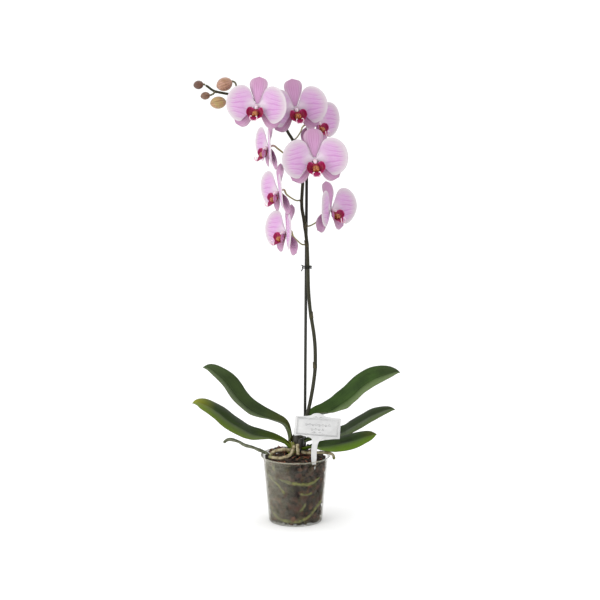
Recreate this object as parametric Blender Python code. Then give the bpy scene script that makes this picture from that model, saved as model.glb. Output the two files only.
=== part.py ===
"""Potted moth orchid (Phalaenopsis) in its clear nursery pot.

Metres, +Z up. The origin is the centre of the pot's flat underside. The plant is seen from -Y, so +X is its
right. Points are written in millimetres and scaled by MM.
"""

import math

import bmesh
import bpy
from mathutils import Euler, Matrix, Vector

MM = 0.001
GAP = 0.3

# Pot, a standard 12 cm clear orchid pot
POT_BASE_RADIUS = 46.0
POT_WALL_RADIUS = 55.5
POT_RIM_RADIUS = 60.0
POT_HEIGHT = 116.0
POT_WALL = 1.3
RIM_HEIGHT = 10.0
DRAIN_HOLES = 8
DRAIN_HOLE_RADIUS = 4.0
DRAIN_RING_RADIUS = 33.0
POT_SEGMENTS = 48

# Bark
BARK_FLOOR = POT_WALL + GAP
BARK_TOP = 111.0
BARK_SEGMENTS = 32
BARK_WALL_GAP = GAP + 0.3
BARK_RINGS = (1.0, 0.86, 0.64, 0.42, 0.2)  # shares of the top's radius
BARK_HEAP = (-32, 16, 9, 420)  # middle x and y, height and squared spread of the heap at the back left
BARK_MOUND = (0, 0, 12, 900)  # the same for the mound round the crown
BARK_LUMP_HEIGHT = 1.3

# Stake and spike
STAKE_RADIUS = 2.5
STAKE_FOOT = (15.2, 18.5, 22.0)
STAKE_TOP = (19.2, 11.8, 640.0)
STAKE_CLEARANCE = 0.35
SPIKE_ROUTE = [
    (8.6, -9.5, 147), (11, -9.5, 157), (16, -7.5, 172), (22, -2, 195), (27, 0, 219), (31, 0, 244),
    (33.5, 0, 270), (33.5, 0, 300), (31.5, 1, 325), (28, 2, 348), (25, 4, 367), (22, 5.5, 402),
    (21, 6, 440),
    (20, 6, 471), (18.5, 6, 490), (16.5, 5, 506), (14, 3, 524), (11, 2, 541), (10.5, 1, 556),
    (11.5, 0, 574),
    (12, 0, 589), (9, 0, 607), (3, 0, 633), (-4, 0, 656), (-11, 0, 668), (-17, 0, 678), (-29, 0, 694),
    (-46, 0, 711), (-66, 0, 724), (-86, 0, 729), (-111, 0, 734), (-127, 0, 737), (-137, 0, 740),
    (-146, 0, 746.5),
    (-150, 0, 749),
]
SPIKE_FOOT_RADIUS = 3.2
SPIKE_TIP_RADIUS = 2.0
SPIKE_STATIONS = 52
SPIKE_NODES = [270.0, 357.0, 480.0, 510.0]  # heights of its swollen joints
SPIKE_NODE_SWELL = 0.35

# Flowers: place of the point where the petals meet, yaw, pitch and roll in degrees, size, how far the petals
# reach forward in degrees, and the route of the stalk from its place on the spike
FLOWERS = [
    {"at": (-62.5, -55, 719), "turn": (-12, -2, 3), "size": 0.97, "cup": 10,
     "stalk": [(-46, 0, 711), (-48, -10, 716), (-54, -28, 722)]},
    {"at": (0.5, -14, 712.5), "turn": (13, -3, -6), "size": 1.0, "cup": 12,
     "stalk": [(-17, 0, 678), (-13, 9, 685), (-8, 17, 698), (-4, 13, 709)]},
    {"at": (35, 58, 684), "turn": (54, 0, 0), "size": 0.97, "cup": 17,
     "stalk": [(-4, 0, 656), (3, 10, 662), (9, 30, 670), (13, 50, 677)]},
    {"at": (-45, -8, 647), "turn": (-74, -4, 1), "size": 0.94, "cup": 11,
     "stalk": [(5.8, 0, 622), (-4, -1, 626), (-17, -2, 634), (-29, -3, 643)]},
    {"at": (32, -52, 631), "turn": (5, -8, -4), "size": 1.05, "cup": 9,
     "stalk": [(9.7, 0, 603), (14, -9, 606), (23, -24, 616), (30, -36, 626)]},
    {"at": (-28, -12, 573), "turn": (-68, -6, 0), "size": 0.97, "cup": 15,
     "stalk": [(10.5, 1, 556), (2, -1, 556), (-6, -3, 560), (-15, -5, 567)]},
    {"at": (-16, -12, 505), "turn": (-63, 3, 0), "size": 0.97, "cup": 18,
     "stalk": [(19.3, 6, 480), (11, 3, 481), (4, 0, 487), (-4, -4, 496)]},
    {"at": (60, -8, 543), "turn": (52, 3, 0), "size": 0.98, "cup": 20,
     "stalk": [(15.6, 4.4, 511), (25, 3, 513), (36, 1, 520), (49, -1, 535)]},
]
STALK_RADIUS = 1.5
STALK_STATIONS = 10
STALK_CLEARANCE = 1.7  # from the sepals to the end of the stalk
STALK_STRAIGHT = 10.0  # how far behind the petals the stalk comes up square
PETAL_THICKNESS = 0.9
SEPAL_THICKNESS = 1.0
SEPAL_LAYER = -1.4  # how far behind the petals the sepals lie at the middle
PETAL_ARCH = 2.2  # how far the middle of a petal stands forward
PETAL_DROOP = 2.6  # how far its upper and lower edges fall back
PETAL_REACH = 50.0
PETAL_HALF_HEIGHT = 32.0
CLAW_HALF_WIDTH = 3.0
PETAL_OUTLINE = [
    (3, 2.6), (8.5, 9), (10.5, 19), (15, 28.5), (25, 33.5), (37, 31), (47, 22), (52.5, 9), (53.5, -3),
    (49.5, -14), (42, -23), (33, -28), (26, -27), (21, -19), (15, -10.5), (8, -5), (3, -2.6),
]
PETAL_STEPS = 3
PETAL_RAYS = 8
SEPAL_START = 3.6  # how far from the middle a sepal begins
SEPAL_ARCH = 2.0
SEPAL_STEP_BACK = 0.6
SEPALS = [  # direction in degrees, length, half-width, backward sweep at the tip
    (90, 47.5, 15.5, 7),
    (-42, 50, 15, 1.5),
    (222, 50, 15, 1.5),
]
SEPAL_PROFILE = [(0.0, 0.17), (0.25, 0.62), (0.5, 0.94), (0.72, 1.0), (0.9, 0.7), (1.0, 0.16)]

# Buds: middle, direction of the tip, length, width, and the route of the stalk
BUDS = [
    {"at": (-118, -10, 751), "tip": (-0.94, -0.05, -0.32), "length": 27, "width": 22.5,
     "stalk": [(-109, -1, 733.6), (-101, -5, 738), (-98, -9, 746.5), (-100, -10, 753.5)]},
    {"at": (-128.5, -12, 720.5), "tip": (-0.99, -0.05, -0.1), "length": 26.5, "width": 20.5,
     "stalk": [(-90, -1, 730), (-93, -9, 725), (-103, -12, 721.8)]},
    {"at": (-161.5, 0, 749.5), "tip": (-0.99, 0, -0.1), "length": 17, "width": 14.5,
     "stalk": [(-150.3, 0, 749.2)]},
    {"at": (-150, -5, 731.5), "tip": (-0.98, -0.1, -0.12), "length": 16, "width": 13,
     "stalk": [(-133, -0.5, 738.6), (-136.5, -5, 735)]},
]
BUD_STALK_RADIUS = 1.6
BUD_PROFILE = [(-1.0, 0.24), (-0.86, 0.5), (-0.55, 0.84), (-0.1, 1.0), (0.35, 0.9), (0.72, 0.62),
(1.0, 0.14)]

# Leaves: midrib route, half-widths along it, fold of each half in degrees at the base and at mid-length, and
# how far the blade is turned toward -Y
LEAF_THICKNESS = 2.0
LEAVES = {
    "leaf_1": {"midrib": [(-12, 3.6, 138), (-13, 4, 148), (-16, 4, 158), (-23, 4, 168), (-39, 4, 175),
                          (-64, 3, 185),
                          (-83, 3, 196), (-102, 3, 215), (-119, 4, 239), (-135, 5, 255), (-148, 6, 265),
                          (-159, 6, 268)],
               "half_width": 25.5, "base_fold": 44, "fold": 22, "turn": 24},
    "leaf_2": {"midrib": [(-11.5, -5, 128), (-15, -5.5, 133), (-22, -6, 138), (-39, -7, 144),
                          (-58, -9, 149),
                          (-76, -10, 154), (-95, -12, 165), (-114, -14, 177), (-132, -15, 192),
                          (-151, -17, 205),
                          (-166, -18, 211), (-176, -20, 211)],
               "half_width": 27, "base_fold": 40, "fold": 3, "turn": 20},
    "leaf_3": {"midrib": [(16.1, 4.2, 151), (19.4, 4.6, 160), (26, 6.5, 172), (37, 10, 181),
                          (54, 15, 185), (66, 18, 190),
                          (78, 19, 198), (90, 20, 206), (102, 20, 216), (114, 20, 228), (126, 20, 237),
                          (138, 20, 244), (156, 20, 251), (173, 20, 256), (180, 20, 256)],
               "half_width": 29, "base_fold": 60, "fold": 19, "turn": 26},
    "leaf_4": {"midrib": [(14, 2, 134), (19, 2, 138), (31, 4, 141), (55, 8, 144), (81, 12, 151),
                          (96, 11, 160),
                          (114, 10, 171), (132, 8, 182), (150, 7, 190), (163, 6, 194), (171, 5, 194)],
               "half_width": 20.5, "base_fold": 50, "fold": 6, "turn": 20},
    "leaf_5": {"midrib": [(14, -6, 125), (19, -10, 127.5), (30, -17, 132), (53, -27, 137), (77, -29, 142),
                          (101, -31, 148), (119, -32, 155), (138, -33, 160)],
               "half_width": 24, "base_fold": 40, "fold": 1, "turn": 20},
}
LEAF_OPENED_AT = 0.45  # share of its length at which a blade has unfolded
LEAF_PROFILE = [(0.0, 0.3), (0.08, 0.42), (0.2, 0.64), (0.38, 0.86), (0.58, 1.0), (0.75, 0.97),
(0.88, 0.72),
                (0.96, 0.38), (1.0, 0.06)]
LEAF_STATIONS = 13
LEAF_COLUMNS = 4

CROWN_STATIONS = [(96, 5.6), (104, 6.6), (120, 7.2), (140, 6.8), (150, 5.6),
(154, 3.8)]  # height, radius along Y
CROWN_WIDENING = 1.32  # its breadth along X against its depth along Y
CROWN_HOLE_FLOOR = 94.0
CROWN_CLEARANCE = 0.5
CROWN_MIDDLE_X = 1.6

# Roots: route and radius
ROOTS = {
    "aerial_root_left": ([(-41, 4, 108), (-46, 6.5, 112.5), (-51, 9, 116.2), (-57, 9.5, 118.9),
                          (-65, 8.5, 122.6),
                          (-75, 6, 127.4), (-87, 4, 131.2), (-99, 2, 138.4), (-111, 0, 142.4),
                          (-118, 0, 141.6),
                          (-124, 0, 136.4)], 2.8),
    "rim_root_right": ([(10, -10.5, 123), (20, -12, 122), (34, -13, 122.5), (46, -14, 123),
                        (54, -14, 122.5),
                        (60, -14.5, 121.5), (65, -15, 117.8), (66, -16, 111)], 2.7),
    "surface_root_1": ([(-7.5, -12.4, 127), (-13, -18, 128.6), (-20, -20, 130), (-29, -19, 128.6),
                        (-38, -18, 125.4),
                        (-44, -17.5, 118)], 2.7),
    "surface_root_2": ([(-3, -11.4, 134), (-4.5, -17.5, 128.6), (-8.5, -26, 122.8), (-17, -33, 119.8),
                        (-28, -36, 119),
                        (-38, -34, 119.6), (-46, -30, 120)], 2.7),
    "surface_root_3": ([(3.2, -11.6, 136), (3.6, -16, 131), (4.0, -19.5, 126), (4.4, -21.5, 120)], 3.1),
}
ROOT_CLEARANCE = 0.35

# Roots against the clear wall: angle round the pot from -Y toward +X in degrees, and height
WALL_ROOTS = {
    "wall_root_1": ([(-76, 44), (-66, 27), (-48, 14), (-26, 9.5), (0, 8.5), (20, 12), (38, 21),
                     (56, 32), (78, 40)], 2.9),
    "wall_root_2": ([(-35, 85), (-18, 80), (0, 77), (20, 75), (38, 77), (56, 85)], 3.3),
    "wall_root_3": ([(-49, 108), (-47, 101), (-42, 96)], 2.4),
    "wall_root_4": ([(-80, 93), (-60, 83), (-45, 76.5), (-31, 68), (-23, 57)], 2.3),
    "wall_root_5": ([(10, 59), (22, 57), (36, 58)], 2.3),
    "wall_root_6": ([(22, 42), (17, 34), (9, 26)], 2.3),
}
WALL_ROOT_CLEARANCE = 0.6
WALL_ROOT_HOLE_CLEARANCE = 1.0

# Label: outline seen from the front, x and z
TAG_OUTLINE = [
    (0, 196), (10, 195.4), (24, 196.2), (31, 199.5), (38, 200.4), (46, 198), (52, 194.4), (66, 192.2),
    (77, 191),
    (76, 173), (75, 154.6), (63, 154.2), (52, 153), (44.5, 152.6), (39, 148), (36.4, 135),
    (35.6, 117), (33.2, 100.5),
    (31.5, 99.2), (29.8, 100.5), (26.9, 117), (26.8, 136), (28.2, 150), (25.6, 156.4), (16, 159.4),
    (8, 161.6), (-3, 162), (-1.5, 178),
]
TAG_HOLE = [(24.5, 150), (24.5, 112), (31.5, 96), (38.2, 112), (38.2, 150)]  # the slot it needs in the bark
TAG_THICKNESS = 1.2
TAG_FOOT_HEIGHT = 99.5
TAG_FOOT_DEPTH = -39.5  # y at that height
TAG_LEAN = 0.09  # how far it leans forward for each unit of height
TAG_CLEARANCE = 0.35

TIE_HEIGHT = 441.0
TIE_MIDDLE = (19.4, 9.8)
TIE_HALF_WIDTH = 7.7
TIE_HALF_DEPTH = 8.8
TIE_TURNS = 2
TIE_STEPS = 14  # points in one turn
TIE_PITCH = 2.9
TIE_WIRE_RADIUS = 0.9


def clear_scene():
    for old in list(bpy.data.objects):
        bpy.data.objects.remove(old, do_unlink=True)


def material(name, colour, roughness, metallic=0.0, alpha=1.0):
    made = bpy.data.materials.new(name)
    made.use_nodes = True
    shader = made.node_tree.nodes["Principled BSDF"]
    shader.inputs["Base Color"].default_value = (*colour, 1.0)
    shader.inputs["Roughness"].default_value = roughness
    shader.inputs["Metallic"].default_value = metallic
    shader.inputs["Alpha"].default_value = alpha
    made.diffuse_color = (*colour, alpha)
    return made


def mesh_object(name, points, faces, surface, smooth=True):
    """An object whose points are given in millimetres."""
    mesh = bpy.data.meshes.new(name)
    mesh.from_pydata([tuple(MM * value for value in point) for point in points], [], faces)
    mesh.validate()
    if surface:
        mesh.materials.append(surface)
    if smooth:
        mesh.shade_smooth()
    made = bpy.data.objects.new(name, mesh)
    bpy.context.scene.collection.objects.link(made)
    return made


def face_outward(item):
    shape = bmesh.new()
    shape.from_mesh(item.data)
    bmesh.ops.recalc_face_normals(shape, faces=shape.faces)
    shape.to_mesh(item.data)
    shape.free()


def spline_point(points, at):
    """The point at parameter at, from 0 to 1, of a Catmull-Rom curve through the points."""
    spans = len(points) - 1
    place = min(max(at, 0.0), 1.0) * spans
    index = min(int(place), spans - 1)
    t = place - index
    before = points[max(index - 1, 0)]
    start = points[index]
    end = points[index + 1]
    after = points[min(index + 2, spans)]
    return tuple(
        0.5 * (2 * b + (c - a) * t + (2 * a - 5 * b + 4 * c - d) * t * t + (3 * b - a - 3 * c + d) * t ** 3)
        for a, b, c, d in zip(before, start, end, after)
    )


def along(points, count):
    """Points evenly spaced along the smooth curve through the points given."""
    fine = [Vector(spline_point(points, index / 240)) for index in range(241)]
    travelled = [0.0]
    for before, after in zip(fine, fine[1:]):
        travelled.append(travelled[-1] + (after - before).length)
    spaced = []
    index = 0
    for step in range(count):
        goal = travelled[-1] * step / (count - 1)
        while index < 239 and travelled[index + 1] < goal:
            index += 1
        span = travelled[index + 1] - travelled[index]
        part = (goal - travelled[index]) / span if span else 0.0
        spaced.append(fine[index].lerp(fine[index + 1], min(max(part, 0.0), 1.0)))
    return spaced


def profile_value(table, at):
    """Linear reading of a table of (place, value) pairs."""
    for (low, first), (high, second) in zip(table, table[1:]):
        if at <= high:
            return first + (second - first) * (at - low) / (high - low)
    return table[-1][1]


def tangents(path):
    found = []
    for index in range(len(path)):
        ahead = path[min(index + 1, len(path) - 1)]
        behind = path[max(index - 1, 0)]
        found.append((ahead - behind).normalized())
    return found


def tube(name, path, radii, surface, sides=8):
    """A closed tube along the path, one radius for each point."""
    directions = tangents(path)
    side = directions[0].orthogonal().normalized()
    points = []
    faces = []
    for centre, direction, radius in zip(path, directions, radii):
        side = (side - direction * side.dot(direction)).normalized()
        other = direction.cross(side)
        for step in range(sides):
            angle = 2 * math.pi * step / sides
            points.append(centre + radius * (math.cos(angle) * side + math.sin(angle) * other))
    for ring in range(len(path) - 1):
        for step in range(sides):
            following = (step + 1) % sides
            faces.append((ring * sides + step, ring * sides + following,
                          (ring + 1) * sides + following, (ring + 1) * sides + step))
    faces.append(tuple(reversed(range(sides))))
    faces.append(tuple(range((len(path) - 1) * sides, len(path) * sides)))
    return mesh_object(name, points, faces, surface)


def rounded_radii(count, radius, tip=0.45):
    """Radii of a tube that narrows at its last points."""
    radii = [radius] * count
    radii[-2] = radius * 0.85
    radii[-1] = radius * tip
    return radii


def lathe(name, profile, segments, surface):
    """A closed solid of revolution. The profile's first and last points lie on the axis."""
    points = [(0, 0, profile[0][1])]
    for radius, height in profile[1:-1]:
        for step in range(segments):
            angle = 2 * math.pi * step / segments
            points.append((radius * math.cos(angle), radius * math.sin(angle), height))
    points.append((0, 0, profile[-1][1]))
    rings = len(profile) - 2
    faces = []
    for step in range(segments):
        following = (step + 1) % segments
        faces.append((0, 1 + following, 1 + step))
        for ring in range(rings - 1):
            low = 1 + ring * segments
            high = low + segments
            faces.append((low + step, low + following, high + following, high + step))
        last = 1 + (rings - 1) * segments
        faces.append((last + step, last + following, len(points) - 1))
    return mesh_object(name, points, faces, surface)


def cut(target, cutter, operation="DIFFERENCE"):
    """Adds a Boolean of a cutter that stays hidden."""
    cutter.hide_render = True
    cutter.hide_set(True)
    cutter.display_type = "WIRE"
    boolean = target.modifiers.new(cutter.name, "BOOLEAN")
    boolean.operation = operation
    boolean.solver = "EXACT"
    boolean.object = cutter


def sheet(name, points, faces, thickness, surface):
    made = mesh_object(name, points, faces, surface)
    solidify = made.modifiers.new("thickness", "SOLIDIFY")
    solidify.thickness = thickness * MM
    solidify.offset = 0.0
    return made


def grid_faces(rows, columns, start=0):
    """Quads of a grid whose points are stored row by row."""
    faces = []
    for row in range(rows - 1):
        for column in range(columns - 1):
            corner = start + row * columns + column
            faces.append((corner, corner + 1, corner + columns + 1, corner + columns))
    return faces


def wall_inside(height):
    """Inner radius of the pot's wall at a height."""
    outer = POT_BASE_RADIUS + (POT_WALL_RADIUS - POT_BASE_RADIUS) * height / (POT_HEIGHT - RIM_HEIGHT)
    return outer - POT_WALL


def make_pot(surface):
    under_rim = POT_HEIGHT - RIM_HEIGHT
    profile = [
        (0, 0), (POT_BASE_RADIUS - 2.2, 0), (POT_BASE_RADIUS - 0.4, 0.8), (POT_BASE_RADIUS, 2.6),
        (POT_WALL_RADIUS, under_rim), (POT_WALL_RADIUS + 1, under_rim + 4.8),
        (POT_RIM_RADIUS - 1.6, POT_HEIGHT - 2), (POT_RIM_RADIUS, POT_HEIGHT - 1.4),
        (POT_RIM_RADIUS, POT_HEIGHT - 0.5), (POT_RIM_RADIUS - 0.6, POT_HEIGHT),
        (POT_RIM_RADIUS - 2.2, POT_HEIGHT - 0.6), (POT_WALL_RADIUS - 0.2, under_rim + 5),
        (POT_WALL_RADIUS - POT_WALL, under_rim),
        (POT_BASE_RADIUS - POT_WALL, 3.6), (POT_BASE_RADIUS - POT_WALL - 2, POT_WALL), (0, POT_WALL),
    ]
    pot = lathe("pot", profile, POT_SEGMENTS, surface)
    for index in range(DRAIN_HOLES):
        angle = 2 * math.pi * (index + 0.5) / DRAIN_HOLES
        hole = tube(f"drain_cutter_{index + 1}", [Vector((0, 0, -2)), Vector((0, 0, POT_WALL + 2))],
                    [DRAIN_HOLE_RADIUS] * 2, None, sides=10)
        hole.location = Vector((math.cos(angle), math.sin(angle), 0)) * DRAIN_RING_RADIUS * MM
        cut(pot, hole)
    return pot


def bark_height(x, y):
    """Height of the heaped bark at a place: higher at the back left, with gentle lumps."""
    rise = 0.0
    for middle_x, middle_y, height, spread in (BARK_HEAP, BARK_MOUND):
        rise += height * math.exp(-((x - middle_x) ** 2 + (y - middle_y) ** 2) / spread)
    lumps = BARK_LUMP_HEIGHT * math.sin(0.21 * x + 0.8) * math.sin(0.19 * y - 0.4)
    return BARK_TOP + rise + lumps


def make_bark(surface):
    points = [(0, 0, BARK_FLOOR)]
    rings = []
    for height, inset in ((BARK_FLOOR, 2.1), (5, 0),
    (56, 0)):  # the lowest ring is drawn in to clear the corner
        rings.append([(wall_inside(height) - BARK_WALL_GAP - inset, height)] * BARK_SEGMENTS)
    top_radius = wall_inside(BARK_TOP - 2) - BARK_WALL_GAP
    for share in BARK_RINGS:
        ring = []
        for step in range(BARK_SEGMENTS):
            angle = 2 * math.pi * step / BARK_SEGMENTS
            radius = top_radius * share
            height = bark_height(radius * math.cos(angle), radius * math.sin(angle))
            ring.append((radius, BARK_TOP - 2 if share == BARK_RINGS[0] else height))
        rings.append(ring)
    for ring in rings:
        for step, (radius, height) in enumerate(ring):
            angle = 2 * math.pi * step / BARK_SEGMENTS
            points.append((radius * math.cos(angle), radius * math.sin(angle), height))
    points.append((0, 0, bark_height(0, 0)))
    faces = []
    for step in range(BARK_SEGMENTS):
        following = (step + 1) % BARK_SEGMENTS
        faces.append((0, 1 + following, 1 + step))
        for ring in range(len(rings) - 1):
            low = 1 + ring * BARK_SEGMENTS
            high = low + BARK_SEGMENTS
            faces.append((low + step, low + following, high + following, high + step))
        last = 1 + (len(rings) - 1) * BARK_SEGMENTS
        faces.append((last + step, last + following, len(points) - 1))
    return mesh_object("bark_medium", points, faces, surface)


def make_root(name, route, radius, surface, bark):
    count = max(6, 2 * len(route))
    path = along(route, count)
    cut(bark, tube(name + "_cutter", path, [radius + ROOT_CLEARANCE] * count, None))
    return tube(name, path, rounded_radii(count, radius), surface)


def make_wall_root(name, route, radius, surface, bark):
    """A root that runs round the inside of the pot's wall."""
    count = 3 * len(route)
    path = []
    for angle, height in [spline_point(route, index / (count - 1)) for index in range(count)]:
        reach = wall_inside(height) - radius - WALL_ROOT_CLEARANCE
        turn = math.radians(angle)
        path.append(Vector((reach * math.sin(turn), -reach * math.cos(turn), height)))
    cut(bark, tube(name + "_cutter", path, [radius + WALL_ROOT_HOLE_CLEARANCE] * count, None))
    return tube(name, path, rounded_radii(count, radius), surface)


def make_crown(surface, bark):
    path = [Vector((0, 0, height)) for height, _ in CROWN_STATIONS]
    radii = [radius for _, radius in CROWN_STATIONS]
    hole_path = [Vector((0, 0, CROWN_HOLE_FLOOR))] + path[1:]
    hole = tube("crown_cutter", hole_path, [radius + CROWN_CLEARANCE for radius in radii], None, sides=12)
    crown = tube("crown", path, radii, surface, sides=12)
    for piece in (hole, crown):
        for vertex in piece.data.vertices:
            vertex.co.x = vertex.co.x * CROWN_WIDENING + CROWN_MIDDLE_X * MM
    cut(bark, hole)
    return crown


def make_leaf(name, leaf, surface):
    """A strap-shaped blade: folded like a channel at its base, opening along its length."""
    midrib = along(leaf["midrib"], LEAF_STATIONS)
    directions = tangents(midrib)
    points = []
    for index, (centre, direction) in enumerate(zip(midrib, directions)):
        at = index / (LEAF_STATIONS - 1)
        across = Vector((0, 0, 1)).cross(direction)
        across.z = 0
        across = across.normalized()
        if across.y < 0:
            across = -across  # points away from the viewer
        upward = direction.cross(across)
        if upward.z < 0:
            upward = -upward
        opened = min(1.0, at / LEAF_OPENED_AT)
        fold = math.radians(leaf["base_fold"] + (leaf["fold"] - leaf["base_fold"]) * opened)
        turn = math.radians(leaf["turn"]) * opened
        half_width = leaf["half_width"] * profile_value(LEAF_PROFILE, at)
        for column in range(LEAF_COLUMNS + 1):
            place = 2 * column / LEAF_COLUMNS - 1
            angle = fold + turn if place > 0 else fold - turn
            reach = half_width * place
            points.append(centre + across * reach * math.cos(angle) + upward * abs(reach) * math.sin(angle))
    faces = grid_faces(LEAF_STATIONS, LEAF_COLUMNS + 1)
    return sheet(name, points, faces, LEAF_THICKNESS, surface)


def petal_surface(x, y, cup):
    """A place on the petals as seen from the front, with its depth: the petals reach forward at an angle."""
    out = max(abs(x) - CLAW_HALF_WIDTH, 0.0)
    arch = PETAL_ARCH * math.sin(math.pi * min(out / PETAL_REACH, 1.0))
    droop = PETAL_DROOP * (abs(y) / PETAL_HALF_HEIGHT) ** 2 * min(out / 20.0, 1.0)
    width = CLAW_HALF_WIDTH + out * math.cos(cup) if out else abs(x)
    return (math.copysign(width, x), y, out * math.sin(cup) + arch - droop)


def make_petals(name, size, cup, surface):
    """Both petals as one strip, joined through their claws."""
    rays = [spline_point(PETAL_OUTLINE, index / PETAL_RAYS) for index in range(PETAL_RAYS + 1)]
    claw = [CLAW_HALF_WIDTH * 0.85 * (1 - 2 * index / PETAL_RAYS) for index in range(PETAL_RAYS + 1)]
    points = []
    for side in (-1, 1):
        steps = range(PETAL_STEPS, -1, -1) if side < 0 else range(PETAL_STEPS + 1)
        for step in steps:
            share = step / PETAL_STEPS
            for (edge_x, edge_y), claw_y in zip(rays, claw):
                x = CLAW_HALF_WIDTH + (edge_x - CLAW_HALF_WIDTH) * share
                y = claw_y + (edge_y - claw_y) * share
                points.append(Vector(petal_surface(side * x, y, cup)) * size)
    faces = grid_faces(2 * (PETAL_STEPS + 1), PETAL_RAYS + 1)
    return sheet(name, points, faces, PETAL_THICKNESS, surface)


def make_sepals(name, size, surface):
    """Three sepals joined by a small middle."""
    columns = 5
    points = []
    faces = []
    middle = []
    for direction, length, half_width, sweep in SEPALS:
        angle = math.radians(direction)
        outward = Vector((math.cos(angle), math.sin(angle), 0))
        sideways = Vector((math.sin(angle), -math.cos(angle), 0))
        first = len(points)
        middle = middle + list(range(first, first + columns))
        for share, width_share in SEPAL_PROFILE:
            reach = SEPAL_START + (length - SEPAL_START) * share
            for column in range(columns):
                place = 2 * column / (columns - 1) - 1
                point = outward * (reach - 1.5 * share * place * place)
                point += sideways * half_width * width_share * place
                arch = SEPAL_ARCH * math.sin(math.pi * share) * (1 - place * place)
                point.z = SEPAL_LAYER - sweep * share ** 1.6 + arch - SEPAL_STEP_BACK * min(1.0, 5 * share)
                points.append(point * size)
        faces += grid_faces(len(SEPAL_PROFILE), columns, first)
    dorsal, right, left = middle[:columns], middle[columns:2 * columns], middle[2 * columns:]
    faces.append(tuple(dorsal + right + left))
    made = sheet(name, points, faces, SEPAL_THICKNESS, surface)
    face_outward(made)
    return made


def ellipsoid(name, centre, radii, tilt=(0, 0, 0), segments=8, rings=5):
    shape = bmesh.new()
    bmesh.ops.create_uvsphere(shape, u_segments=segments, v_segments=rings, radius=MM)
    turned = Euler([math.radians(angle) for angle in tilt]).to_matrix().to_4x4()
    placing = Matrix.Translation(Vector(centre) * MM) @ turned
    bmesh.ops.transform(shape, matrix=placing @ Matrix.Diagonal((*radii, 1)), verts=shape.verts)
    mesh = bpy.data.meshes.new(name)
    shape.to_mesh(mesh)
    shape.free()
    made = bpy.data.objects.new(name, mesh)
    bpy.context.scene.collection.objects.link(made)
    return made


LIP_CURL = [(1.8, -22, 21), (4.6, -21.5, 24.5), (5.8, -17.5, 25.5), (4.0, -15.5, 23.5)]
LIP_CURL_RADII = [1.3, 1.3, 1.2, 1.1, 0.9]


def lip_mesh():
    """The column and the lip joined into one body, in the flower's own frame at full size."""
    body = ellipsoid("column_piece", (0, -2.4, 5.9), (4.0, 4.2, 5.0))
    pieces = [
        ellipsoid("throat_piece", (0, -10.5, 7.2), (7.4, 6.4, 5.2)),
        ellipsoid("callus_piece", (0, -14.5, 11.0), (5.2, 4.8, 5.6)),
        ellipsoid("right_lobe_piece", (10.2, -10.5, 10.8), (2.1, 9.2, 8.2), tilt=(0, 42, -16)),
        ellipsoid("left_lobe_piece", (-10.2, -10.5, 10.8), (2.1, 9.2, 8.2), tilt=(0, -42, 16)),
        ellipsoid("middle_lobe_piece", (0, -20.0, 15.6), (8.2, 3.2, 8.6), tilt=(20, 0, 0)),
    ]
    for side, label in ((1, "right"), (-1, "left")):
        route = along([(side * x, y, z) for x, y, z in LIP_CURL], len(LIP_CURL_RADII))
        pieces.append(tube(label + "_curl_piece", route, LIP_CURL_RADII, None, sides=5))
    for piece in pieces:
        cut(body, piece, "UNION")
    bpy.context.view_layer.update()
    graph = bpy.context.evaluated_depsgraph_get()
    joined = bpy.data.meshes.new_from_object(body.evaluated_get(graph))
    for piece in [body] + pieces:
        bpy.data.objects.remove(piece, do_unlink=True)
    joined.shade_smooth()
    return joined


def facing(turn):
    """Rotation of a flower whose own +Z is the way it faces and whose own +Y is up."""
    yaw, pitch, roll = (math.radians(angle) for angle in turn)
    upright = Matrix(((1, 0, 0), (0, 0, -1), (0, 1, 0)))
    return (Matrix.Rotation(yaw, 3, "Z") @ upright @ Matrix.Rotation(-pitch, 3, "X")
            @ Matrix.Rotation(-roll, 3, "Z"))


def clear_of_spike(route, radius):
    """The route with its first point moved out along itself, to rest just off the spike's surface."""
    first = Vector(route[0])
    heading = (Vector(route[1]) - first).normalized()
    spike = along(SPIKE_ROUTE, 400)
    nearest = min(range(len(spike)), key=lambda index: (spike[index] - first).length)
    thickness = spike_radius(nearest / 399, spike[nearest].z)
    direction = tangents(spike)[nearest]
    slant = abs(heading.dot(direction))
    square = math.sqrt(1 - slant * slant)
    reach = (thickness + GAP + radius * slant) / square
    return [tuple(spike[nearest] + heading * reach)] + list(route[1:])


def make_flower(index, flower, surfaces, lip):
    name = f"flower_{index}"
    size = flower["size"]
    frame = bpy.data.objects.new(name + "_frame", None)
    bpy.context.scene.collection.objects.link(frame)
    rotation = facing(flower["turn"])
    frame.location = Vector(flower["at"]) * MM
    frame.rotation_euler = rotation.to_euler()
    frame.empty_display_size = 10 * MM
    cup = math.radians(flower["cup"])
    make_petals(name + "_petals", size, cup, surfaces["petal"]).parent = frame
    make_sepals(name + "_sepals", size, surfaces["sepal"]).parent = frame
    lip_data = lip.copy()
    lip_data.transform(Matrix.Scale(size, 4))
    lip_data.materials.append(surfaces["lip"])
    lip_object = bpy.data.objects.new(name + "_lip", lip_data)
    bpy.context.scene.collection.objects.link(lip_object)
    lip_object.parent = frame
    back = Vector(flower["at"]) + rotation @ Vector((0, 0, SEPAL_LAYER - STALK_CLEARANCE)) * size
    behind = Vector(flower["at"]) + rotation @ Vector((0, 1.0, -STALK_STRAIGHT)) * size
    route = clear_of_spike(flower["stalk"], STALK_RADIUS) + [tuple(behind), tuple(back)]
    path = along(route, STALK_STATIONS)
    tube(name + "_stalk", path, [STALK_RADIUS] * len(path), surfaces["stalk"], sides=6)


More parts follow.
